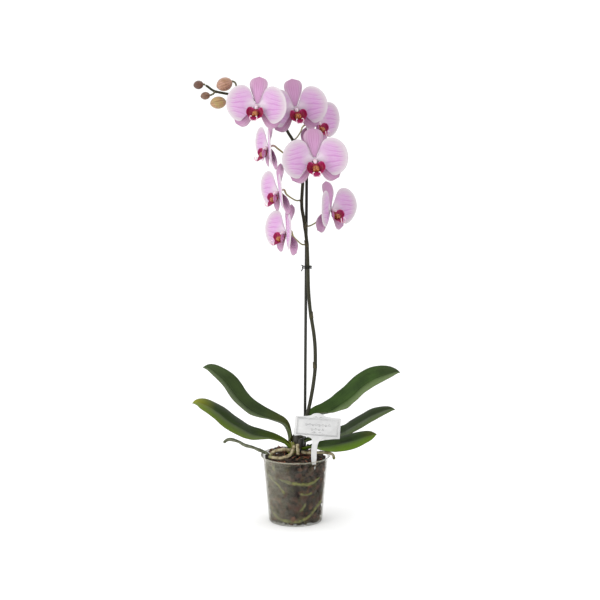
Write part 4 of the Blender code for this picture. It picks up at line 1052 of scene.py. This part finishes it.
def make_leaf(name, surface, seed):
    """A thick strap leaf: folded up from its rounded midrib, its margins thin and a little wavy."""
    leaf = LEAVES[name]
    rows, columns = 110, 29
    midrib = along(leaf["midrib"], rows)
    heading = directions_of(midrib)
    across = np.cross([0, 0, 1], heading)
    across[:, 2] = 0
    across = unit(across)
    across[across[:, 1] < 0] *= -1
    upward = np.cross(heading, across)
    upward[upward[:, 2] < 0] *= -1
    at, place = sheet_places(rows, columns)
    opened = 0.5 * smooth_step(0, 0.45, at) + 0.5 * np.clip(at / 0.45, 0, 1)
    fold = np.radians(leaf["base_fold"] + (leaf["fold"] - leaf["base_fold"]) * opened)
    turn = np.radians(leaf["turn"]) * opened
    tip = np.sqrt(np.clip(1 - ((at - 0.93) / 0.07).clip(0, 1) ** 2, 0, 1))
    half_width = leaf["half_width"] * profile_at(LEAF_PROFILE, at) * (0.12 + 0.88 * tip)
    angle = fold + np.where(place > 0, turn, -turn)
    reach = half_width * place
    lift = np.abs(reach) * np.sin(angle)
    crease = 0.072 * half_width * bell(place, 0, 0.16) * np.sin(np.abs(fold) + 0.12)
    wave = 0.35 * np.sin(at * 19 + seed + place) * np.abs(place) ** 2 * smooth_step(0.2, 0.5, at)
    arch = 0.05 * half_width * np.sin(np.pi * np.abs(place)) * smooth_step(0.25, 0.6, at)
    grid = (midrib[:, None, :] + across[:, None, :] * (reach * np.cos(angle))[..., None]
            + upward[:, None, :] * (lift + crease + wave + arch)[..., None])
    thickness = LEAF_THICKNESS * (0.22 + 0.78 * np.sqrt(np.clip(1 - np.abs(place) ** 2.6, 0, 1)))
    thickness = thickness * (0.55 + 0.45 * tip) * np.ones_like(at)
    points, faces = closed_sheet(grid, thickness)
    shape = Shape()
    size = (rows, columns)
    shape.add(points, faces, fan=both_sides((place + 1) / 2, size), out=both_sides(at, size))
    shape.make(name + "_blade", [surface], name)


# ---------------------------------------------------------------- spike, stalks, buds

def spike_radii(path):
    at = np.linspace(0, 1, len(path))
    swell = sum(0.35 * bell(path[:, 2], node, 4) for node in SPIKE_NODES)
    return SPIKE_FOOT_RADIUS + (SPIKE_TIP_RADIUS - SPIKE_FOOT_RADIUS) * at ** 2.2 + swell


def bract(centre, heading, radius, length, side):
    """A papery scale that wraps a joint of the stem on one side."""
    up = np.array(heading)
    side = unit(np.array(side) - up * up.dot(side))
    other = np.cross(up, side)
    at, place = sheet_places(14, 11)
    wrap = place * math.radians(95) * (1 - at ** 1.6 * 0.93)
    reach = radius + 0.35 + 0.84 * at ** 2
    grid = (np.array(centre) + up * (length * at + 0 * place)[..., None]
            + side * (reach * np.cos(wrap))[..., None] + other * (reach * np.sin(wrap))[..., None])
    return closed_sheet(grid, 0.35)


def make_spike(surface, scale):
    """The arching stem, lightly ribbed, with a bract at each swollen joint and a small one under each stalk."""
    count = 420
    path = along(SPIKE_ROUTE, count)
    heading = directions_of(path)
    radii = spike_radii(path)
    sides = 20
    ribs = 1 + 0.02 * np.cos(5 * circle(sides))
    points, faces, out, _ = tube(path, rounded(path, radii)[:, None] * ribs, sides)
    shape = Shape()
    shape.add(points, faces, out=out)

    def wrap(nearest, below, snug, length, side):
        points, faces = bract(path[nearest] - heading[nearest] * below, heading[nearest], radii[nearest] * snug,
                              length, side)
        shape.add(points, faces, kind=1, out=0.5)

    for index, node in enumerate(SPIKE_NODES):
        side = (1, -0.6, 0) if index % 2 else (-1, -0.6, 0)
        wrap(int(np.argmin(np.abs(path[:, 2] - node))), 2, 1.0, 11, side)
    for item in FLOWERS + BUDS:
        start = np.array(item["stalk"][0], float)
        nearest = int(np.argmin(np.linalg.norm(path - start, axis=1)))
        if nearest < count - 6:
            wrap(nearest, 2.5, 0.98, 5, unit(np.array(item["stalk"][1], float) - start))
    shape.make("spike_stem", [surface, scale], "flower_spike")


def clear_of_spike(route):
    """The route with its first point moved out along itself, to rest just inside the spike's surface."""
    spike = along(SPIKE_ROUTE, 400)
    first = np.array(route[0], float)
    nearest = int(np.argmin(np.linalg.norm(spike - first, axis=1)))
    heading = unit(np.array(route[1], float) - first)
    return [tuple(spike[nearest] + heading * 1.2)] + list(route[1:])


def facing(turn):
    """Rotation of a flower whose own +Z is the way it faces and whose own +Y is up."""
    yaw, pitch, roll = (math.radians(angle) for angle in turn)
    upright = Matrix(((1, 0, 0), (0, 0, -1), (0, 1, 0)))
    turned = (Matrix.Rotation(yaw, 3, "Z") @ upright @ Matrix.Rotation(-pitch, 3, "X")
              @ Matrix.Rotation(-roll, 3, "Z"))
    return np.array(turned)


def seated(points, flower, size=1.0):
    """Places on a flower's own axes, scaled, turned and moved to where the flower hangs."""
    return np.asarray(points) * size @ facing(flower["turn"]).T + np.array(flower["at"])


def make_stalk(name, flower, surface):
    """The flower's stalk: it thickens into the ribbed ovary behind the flower."""
    ends = seated([(0, 1.0, -10), (0, 0, SEPAL_LAYER - 1.0)], flower, flower["size"])
    count, sides = 90, 18
    path = along(clear_of_spike(flower["stalk"]) + [tuple(end) for end in ends], count)
    place = np.linspace(0, 1, count)[:, None]
    turn = circle(sides)[None, :]
    radii = 1.25 + 0.45 * smooth_step(0.35, 0.9, place) + 0.3 * bell(place, 0.0, 0.04)
    radii = radii * (1 + 0.07 * smooth_step(0.4, 0.7, place) * np.cos(6 * (turn + 1.5 * place)))
    points, faces, out, _ = tube(path, radii, sides)
    shape = Shape()
    shape.add(points, faces, out=out)
    shape.make(name + "_stalk_stem", [surface], name + "_stalk")


def stalk_look():
    look = Look("stalk_green", roughness=0.45)
    out = look.trait("out")
    colour = look.ramp(out, (0.0, (92, 84, 52)), (0.3, (134, 128, 78)), (0.75, (158, 148, 98)),
                       (0.97, (196, 160, 160)))
    mottle = look.noise(2.0)
    colour = look.cover(colour, mottle, 0.5, 0.75, 0.5, (96, 84, 54))
    return look.done(colour, look.bump(mottle, 0.12))


def make_bud(index, bud, surface):
    """A closed bud: three sepals meet in shallow twisted seams toward a blunt tip."""
    tip = unit(np.array(bud["tip"], float))
    centre = np.array(bud["at"], float)
    half = bud["length"] / 2
    stalk_count, body_count, sides = 30, 60, 48
    route = clear_of_spike(bud["stalk"]) if len(bud["stalk"]) > 1 else list(bud["stalk"])
    stalk = along(route + [tuple(centre - tip * half * 1.1)], stalk_count)
    fine = spline_points(BUD_PROFILE, body_count)
    path = np.concatenate([stalk, centre + tip * half * fine[:, :1]])
    turn = circle(sides)[None, :]
    place = np.concatenate([np.zeros(stalk_count), np.linspace(0.08, 1, body_count)])[:, None]
    wide = np.concatenate([np.full(stalk_count, BUD_STALK_RADIUS), bud["width"] / 2 * fine[:, 1]])[:, None]
    twist = turn + 0.9 * place
    seam = np.maximum.reduce([bell(np.angle(np.exp(1j * (twist - middle))), 0, 0.10)
                              for middle in (0.5, 2.6, 4.7)])
    on_body = smooth_step(0.1, 0.25, place)
    radii = wide * (1 - 0.05 * seam * on_body + 0.02 * np.cos(3 * twist) * on_body)
    points, faces, _, around = tube(path, radii, sides)
    shape = Shape()
    shape.add(points, faces, out=np.repeat(place[:, 0], sides), fan=around, seam=(seam * on_body).reshape(-1))
    shape.make(f"bud_{index}_skin", [surface], f"bud_{index}")


# ---------------------------------------------------------------- flowers

def petal_depth(x, y, cup):
    """Where a place on the flat petals goes when each is tilted forward by its cup and gently domed."""
    out = np.maximum(np.abs(x) - CLAW_HALF_WIDTH, 0)
    bulge = 2.2 * np.sin(np.pi * np.minimum(out / 50, 1)) - 2.6 * (y / 32) ** 2 * np.minimum(out / 20, 1)
    width = np.where(out > 0, CLAW_HALF_WIDTH + out * math.cos(cup), np.abs(x))
    return np.copysign(width, x), out * math.sin(cup) + bulge


def make_petals(name, flower, surface, seed):
    """Both petals, broad and rounded, joined through their claws; margins thin and softly ruffled."""
    rng = np.random.default_rng(seed)
    rays, steps = 72, 30
    edge = spline_points(PETAL_OUTLINE, rays + 1)
    fan = np.arange(rays + 1) / rays
    claw = CLAW_HALF_WIDTH * 0.85 * (1 - 2 * fan)
    rows, outs, rises = [], [], []
    for side in (-1, 1):
        phase = rng.uniform(0, 6.28, 3)
        stretch = 1 + rng.uniform(-0.012, 0.012, 2)
        for step in (range(steps, -1, -1) if side < 0 else range(steps + 1)):
            share = step / steps
            x = CLAW_HALF_WIDTH + (edge[:, 0] * stretch[0] - CLAW_HALF_WIDTH) * share
            y = claw + (edge[:, 1] * stretch[1] - claw) * share
            across, depth = petal_depth(side * x, y, math.radians(flower["cup"]))
            ruffle = share ** 4 * (0.8 * np.sin(9 * fan + phase[0]) + 0.4 * np.sin(21 * fan + phase[1]))
            midvein = -0.45 * bell(fan, 0.5, 0.035) * math.sin(math.pi * share)
            fold = 0.35 * share * np.sin(5 * fan + phase[2])
            pull = 0.6 * share ** 6 * bell(fan, 0.5, 0.06)
            rows.append(np.stack([across - side * pull, y, depth + ruffle + midvein + fold * share], axis=1))
            outs.append(np.full(rays + 1, share))
            rises.append(y / 70 + 0.5)
    grid = np.array(rows) * flower["size"]
    out = np.array(outs)
    points, faces = closed_sheet(grid, PETAL_THICKNESS * (1 - 0.7 * out ** 6))
    shape = Shape()
    shape.add(seated(points, flower), faces, out=both_sides(out), fan=both_sides(fan, out.shape),
              rise=both_sides(rises))
    shape.make(name + "_petals_soft", [surface], name + "_petals")


def make_sepals(name, flower, surface, seed):
    """The three sepals: the upper one upright and keeled, the lower two spread below the lip."""
    rng = np.random.default_rng(seed + 50)
    shape = Shape()
    size = (46, 23)
    share, place = sheet_places(*size)
    wide = profile_at(SEPAL_PROFILE, share, 300)
    for number, (direction, length, half_width, sweep) in enumerate(SEPALS):
        angle = math.radians(direction)
        outward = np.array([math.cos(angle), math.sin(angle), 0])
        sideways = np.array([math.sin(angle), -math.cos(angle), 0])
        reach = 2.0 + (length - 2.0) * share - 1.0 * share * place ** 2
        arch = 2.0 * np.sin(np.pi * share) * (1 - place ** 2)
        keel = 0.5 * bell(place, 0, 0.12) * np.sin(np.pi * share)
        phase = rng.uniform(0, 6.28)
        wave = 0.7 * np.abs(place) ** 3 * np.sin(7 * share + phase + place) * smooth_step(0.15, 0.5, share)
        depth = SEPAL_LAYER - sweep * share ** 1.6 + arch - keel + wave - 0.6 * np.minimum(1, 5 * share)
        grid = (outward * reach[..., None] + sideways * (half_width * wide * place)[..., None]
                + np.array([0, 0, 1]) * depth[..., None]) * flower["size"]
        thickness = SEPAL_THICKNESS * (1 - 0.6 * np.abs(place) ** 6) * (1 - 0.5 * share ** 10)
        points, faces = closed_sheet(grid, thickness)
        shape.add(seated(points, flower), faces, out=both_sides(share, size),
                  fan=both_sides((place + 1) / 2, size), low=float(number > 0))
    points, faces = ball((0, 0, SEPAL_LAYER - 0.6), (3.9, 3.9, 1.2), rings=10)
    shape.add(seated(points, flower, flower["size"]), faces, out=0.0, fan=0.5)
    shape.make(name + "_sepals_soft", [surface], name + "_sepals")


def disc_grid(count):
    """A square grid bent into a disc of radius 1: two arrays of places."""
    u, v = np.meshgrid(np.linspace(-1, 1, count), np.linspace(-1, 1, count), indexing="ij")
    return u * np.sqrt(1 - v * v / 2), v * np.sqrt(1 - u * u / 2)


def hood(raw):
    return 1 + 0.10 * raw[..., 2].clip(0, 1) * bell(raw[..., 1], 0.4, 0.5) - 0.12 * bell(raw[..., 1], -1, 0.5)


def knobs(raw):
    lumps = 0.3 * bell(np.abs(raw[..., 0]), 0.6, 0.28) * bell(raw[..., 2], 0.6, 0.5)
    return 1 + lumps - 0.22 * bell(raw[..., 0], 0, 0.2) * bell(raw[..., 2], 0.9, 0.5)


def side_lobe(side):
    """One upright, cupped side lobe: points, faces and traits."""
    u, v = disc_grid(21)
    tall = 9.2 * v
    deep = 8.2 * u * (0.66 + 0.34 * smooth_step(-1.0, 0.1, v))
    cup = 1.5 - 3.2 * (u ** 2 + v ** 2) + 0.5 * np.sin(3 * u + 2 * v)
    about_y, about_z = (math.radians(side * angle) for angle in SIDE_LOBE_TURN)
    turned = np.array(Euler((0, about_y, about_z)).to_matrix())
    grid = np.stack([side * cup, tall, deep], axis=-1) @ turned.T + np.array(SIDE_LOBE_PLACE) * [side, 1, 1]
    radius = np.sqrt(u ** 2 + v ** 2)
    points, faces = closed_sheet(grid, 0.7 * (1 - 0.5 * radius ** 4))
    out = (np.sqrt(u ** 2 + (v + 1) ** 2) / 2 * (0.35 + 0.65 * smooth_step(0.5, 1.0, radius))
           + 0.25 * smooth_step(0.9, 1, radius))
    half = len(points) // 2
    first_out = (points[:half, 0] * side).mean() > (points[half:, 0] * side).mean()
    return points, faces, {"out": both_sides(out.clip(0, 1)),
                           "fan": both_sides(0.5 + np.arctan2(u, v + 1.35) / 3.0),
                           "back": np.repeat([float(first_out), float(not first_out)], half)}


def middle_lobe():
    """The broad, upcurled middle lobe that closes the lip below: points, faces and traits."""
    size = (30, 19)
    share, place = sheet_places(*size)
    half_width = profile_at(MIDDLE_LOBE_PROFILE, share, 200)
    rise = 2.6 * np.abs(place) ** 1.6 * np.sin(np.pi * np.clip(share * 1.05, 0, 1)) + 0.8 * bell(place, 0, 0.2)
    curl = 0.2 * half_width * place ** 2 + 0.4 * np.sin(9 * place + 5 * share)
    grid = along(MIDDLE_LOBE_ROUTE, size[0])[:, None, :] + np.stack([half_width * place, rise, curl], axis=-1)
    points, faces = closed_sheet(grid, 1.1 * (1 - 0.5 * np.abs(place) ** 4) * np.ones_like(share))
    return points, faces, {"out": both_sides(0.2 + 0.5 * share + 0.28 * np.abs(place) ** 4, size),
                           "fan": both_sides((place + 1) / 2, size)}


def make_lip(name, flower, surfaces):
    """Column, throat, callus, two upright side lobes and the middle lobe with its two whiskers."""
    shape = Shape()
    lobe_kind, callus_kind, column_kind, whisker_kind = range(len(surfaces))

    def put(points, faces, kind, **traits):
        shape.add(seated(points, flower, flower["size"]), faces, kind=kind, **traits)

    points, faces = ball(*COLUMN, shape=hood)
    put(points, faces, column_kind, out=smooth_step(-1, 9, points[:, 2]))
    put(*ball(*ANTHER_CAP), column_kind, out=1.0)
    points, faces = ball(*THROAT)
    put(points, faces, lobe_kind, out=0.12, fan=points[:, 0] / 14 + 0.5, back=smooth_step(6, 3, points[:, 2]))
    put(*ball(*CALLUS, shape=knobs), callus_kind)
    for points, faces, traits in (side_lobe(-1), side_lobe(1), middle_lobe()):
        put(points, faces, lobe_kind, **traits)
    count = 34
    for side in (-1, 1):
        path = along([(side * x, y, z) for x, y, z in WHISKER_ROUTE], count)
        points, faces, out, _ = tube(path, rounded(path, np.linspace(1.0, 0.6, count), start=False), 12)
        put(points, faces, whisker_kind, out=out)
    shape.make(name + "_lip_soft", surfaces, name + "_lip")


# ---------------------------------------------------------------- stake, tie, label

def make_stake(surface):
    """A ribbed plastic rod with a rounded top, and a painted highlight stripe down its front-left side."""
    foot, top = np.array(STAKE_FOOT), np.array(STAKE_TOP)
    dome = [top + [0, 0, lift] for lift in (0.35, 0.7, 1.0, 1.2)]
    path = np.concatenate([foot + (top - foot) * np.linspace(0, 1, 60)[:, None], dome])
    sides = 32
    ridges = STAKE_RADIUS * (1 - 0.035 * (0.5 + 0.5 * np.cos(8 * circle(sides))))
    radii = np.tile(ridges, (len(path), 1))
    radii[-4:] *= np.array([0.97, 0.86, 0.66, 0.3])[:, None]
    radii[0] *= 0.35
    points, faces, _, _ = tube(path, radii, sides)
    away_x, away_y = (points[:, axis] - np.interp(points[:, 2], path[:, 2], path[:, axis]) for axis in (0, 1))
    shape = Shape()
    # painted highlight stripe, a little left of the side facing the camera
    shape.add(points, faces, band=bell(np.arctan2(away_x, -away_y), -0.15, 0.28))
    shape.make("stake_rod", [surface], "stake")


def make_tie(surface):
    """Two thin wires twisted together and wound round the spike and the stake."""
    middle_x, middle_y = TIE_MIDDLE
    route = [(middle_x - TIE_HALF_WIDTH - 1.5, middle_y - TIE_HALF_DEPTH * 0.85, TIE_HEIGHT + 4.5)]
    for turns in np.linspace(0, TIE_TURNS, 14 * TIE_TURNS + 1):
        angle = math.radians(190) + 2 * math.pi * turns
        route.append((middle_x + TIE_HALF_WIDTH * math.cos(angle), middle_y + TIE_HALF_DEPTH * math.sin(angle),
                      TIE_HEIGHT - TIE_PITCH * (turns - TIE_TURNS / 2)))
    route.append(tuple(np.array(route[-1]) + [-2.0, -4.0, -3.0]))
    count = 520
    path = along(route, count)
    heading = directions_of(path)
    side = unit(np.cross(heading, [0.1, 0.05, 1.0]))
    other = np.cross(heading, side)
    shape = Shape()
    for strand in (0, 1):
        turn = (np.linspace(0, 46 * np.pi, count) + math.pi * strand)[:, None]
        strand_path = path + 0.42 * (np.cos(turn) * side + np.sin(turn) * other)
        points, faces, _, _ = tube(strand_path, rounded(strand_path, 0.62), 8)
        shape.add(points, faces)
    shape.make("tie_twist", [surface], "stake_tie")


def tag_depth(height):
    return TAG_FOOT_DEPTH - TAG_LEAN * (height - TAG_FOOT_HEIGHT)


def outline_points(step):
    """The label's outline with its curved runs smoothed and its corners kept."""
    points = []
    current = [TAG_OUTLINE[0]]
    for index in list(range(1, len(TAG_OUTLINE))) + [0]:
        current.append(TAG_OUTLINE[index])
        if index in TAG_CORNERS:
            length = sum(math.dist(a, b) for a, b in zip(current, current[1:]))
            points += [tuple(point) for point in along(current, max(3, int(length / step)))[:-1]]
            current = [TAG_OUTLINE[index]]
    return np.array(points)


def make_tag(card, ink):
    """The label on its spike: a card with softened edges, a double frame line and plain scrollwork."""
    outline = outline_points(1.6)
    heading = unit(np.gradient(np.concatenate([outline[-1:], outline, outline[:1]]), axis=0))[1:-1]
    inward = np.stack([heading[:, 1], -heading[:, 0]], axis=1)
    if ((outline - TAG_MIDDLE) * inward).sum() > 0:
        inward = -inward
    layers = [(0.35, -0.6), (0.1, -0.5), (0.0, -0.3), (0.0, 0.3), (0.1, 0.5), (0.35, 0.6)]
    points = [(x, tag_depth(z) + offset * TAG_THICKNESS, z)
              for inset, offset in layers for x, z in outline + inward * inset]
    shape = Shape()
    shape.add(points, inside_out(ring_faces(len(layers), len(outline))))
    along_x = np.array([math.cos(TAG_TILT), math.sin(TAG_TILT)])
    along_z = np.array([-math.sin(TAG_TILT), math.cos(TAG_TILT)])

    def stroke(places, radius):
        places = np.array(places)
        flat = np.array(TAG_MIDDLE) + places[:, :1] * along_x + places[:, 1:] * along_z
        path = np.array([(x, tag_depth(z) - TAG_THICKNESS * 0.6, z) for x, z in flat])
        points, faces, _, _ = tube(path, rounded(path, radius), 6, flat=0.5)
        shape.add(points, faces, kind=1)

    for half_x, half_z, radius in ((34.6, 14.6, 0.48), (32.9, 12.9, 0.26)):
        corners = [(half_x, half_z), (half_x, -half_z), (-half_x, -half_z), (-half_x, half_z)]
        stroke(corners + corners[:1], radius)
    for middle, half_run, size, turns in ((3.6, 22.0, 2.5, 8), (-4.6, 12.0, 2.2, 4)):
        wave = [(x, middle + 0.9 * math.sin(x * math.pi * turns / half_run / 2))
                for x in np.linspace(-half_run, half_run, 90)]
        stroke(wave, 0.24)
        for index in range(turns):
            start = -half_run + (index + 0.5) * 2 * half_run / turns
            up = 1 if index % 2 else -1
            spiral = [(start + size * (1 - t) * math.cos(5.5 * t) * 0.75,
                       middle + up * (0.6 + size * (1 - t) * abs(math.sin(5.5 * t)) * 0.8))
                      for t in np.linspace(0, 0.92, 30)]
            stroke(spiral, 0.2)
    for height, half_run in ((16.2, 9.0), (-11.0, 10.0)):
        for side in (-1, 1):
            curl = [(side * half_run * t, height + 1.3 * math.sin(math.pi * t) * (1 - 0.4 * t))
                    for t in np.linspace(0.08, 1, 24)]
            stroke(curl, 0.2)
            stroke([(side * half_run * (0.5 + 0.16 * math.cos(a)), height + 1.4 + 0.8 * math.sin(a))
                    for a in np.linspace(0, 5.2, 18)], 0.16)
    shape.make("label_card", [card, ink], "name_tag")


# ---------------------------------------------------------------- studio

def make_floor():
    """A plain pale floor, wide enough to fill every view."""
    half = 150.0
    mesh = bpy.data.meshes.new("studio_floor")
    corners = [(-half, -half, 0), (half, -half, 0), (half, half, 0), (-half, half, 0)]
    mesh.from_pydata(corners, [], [(0, 1, 2, 3)])
    look = Look("studio_white", roughness=0.9)
    darker, lighter = (tuple([level] * 3 + [1.0]) for level in FLOOR_GREYS)
    mesh.materials.append(look.done(look.cover(darker, look.noise(400.0, detail=2), 0.3, 0.7, 1.0, lighter)))
    placed("studio_floor", mesh)


def make_light(name, place, aim, size, power):
    data = bpy.data.lights.new(name, "AREA")
    data.shape = "DISK"
    data.size = size
    data.energy = power
    lamp = placed(name, data)
    lamp.location = place
    lamp.rotation_euler = (Vector(aim) - Vector(place)).to_track_quat("-Z", "Y").to_euler()


def make_studio():
    scene = bpy.context.scene
    world = bpy.data.worlds.new("studio_world")
    world.use_nodes = True
    background = world.node_tree.nodes["Background"]
    background.inputs["Color"].default_value = (1, 1, 1, 1)
    background.inputs["Strength"].default_value = WORLD_STRENGTH
    scene.world = world
    for name, place, aim, size, power in LIGHTS:
        make_light(name, place, aim, size, power)
    make_floor()
    camera = bpy.data.cameras.new("camera")
    camera.sensor_width = SENSOR
    camera.lens = LENS
    camera.clip_end = 1000
    viewpoint = placed("camera", camera)
    viewpoint.location = (CAMERA_X, CAMERA_Y, CAMERA_Z)
    viewpoint.rotation_euler = (math.pi / 2 - CAMERA_DOWN, 0, 0)
    scene.camera = viewpoint
    scene.view_settings.view_transform = "Standard"


def build():
    make_studio()
    make_pot(pot_look())
    make_bark(bark_look(), core_look(), fibre_look())
    cream = root_look("root_skin", (172, 162, 130), (112, 98, 64), (104, 106, 60), (74, 60, 40))
    aerial = root_look("root_silver", (116, 120, 98), (86, 90, 66), (64, 70, 38), (66, 68, 52))
    green = root_look("green_root", (108, 110, 48), (62, 64, 24), (92, 96, 42), (44, 40, 20))
    for name in ROOTS:
        make_root(name, aerial if name == "aerial_root_left" else cream)
    for name in WALL_ROOTS:
        make_wall_root(name, green)
    make_crown(crown_look())
    for seed, (name, tones) in enumerate(LEAF_TONES.items()):
        make_leaf(name, leaf_look(name.replace("_", "") + "_green", *tones), seed * 1.7)
    spike = stem_look("spike_green", (46, 46, 32), (48, 47, 28), (24, 21, 12))
    scale = stem_look("bract_skin", (66, 62, 42), (70, 64, 42), (40, 34, 22))
    make_spike(spike, scale)
    stalk = stalk_look()
    for index, (bud, tones) in enumerate(zip(BUDS, BUD_TONES), start=1):
        make_bud(index, bud, bud_look(f"bud_skin_{index}", *tones))
    petal = petal_look("petal_pink", 0.4, (190, 149, 189), (186, 171, 181), (168, 108, 164))
    sepal = sepal_look("sepal_pink", 1.9, (184, 140, 176), (188, 166, 182), (146, 86, 128))
    lips = [lobe_look(), callus_look(), column_look(), whisker_look()]
    for index, flower in enumerate(FLOWERS, start=1):
        name = f"flower_{index}"
        make_stalk(name, flower, stalk)
        make_petals(name, flower, petal, index * 13)
        make_sepals(name, flower, sepal, index * 13)
        make_lip(name, flower, lips)
    make_stake(stake_look())
    make_tie(tie_look())
    make_tag(tag_look(), print_look())


build()
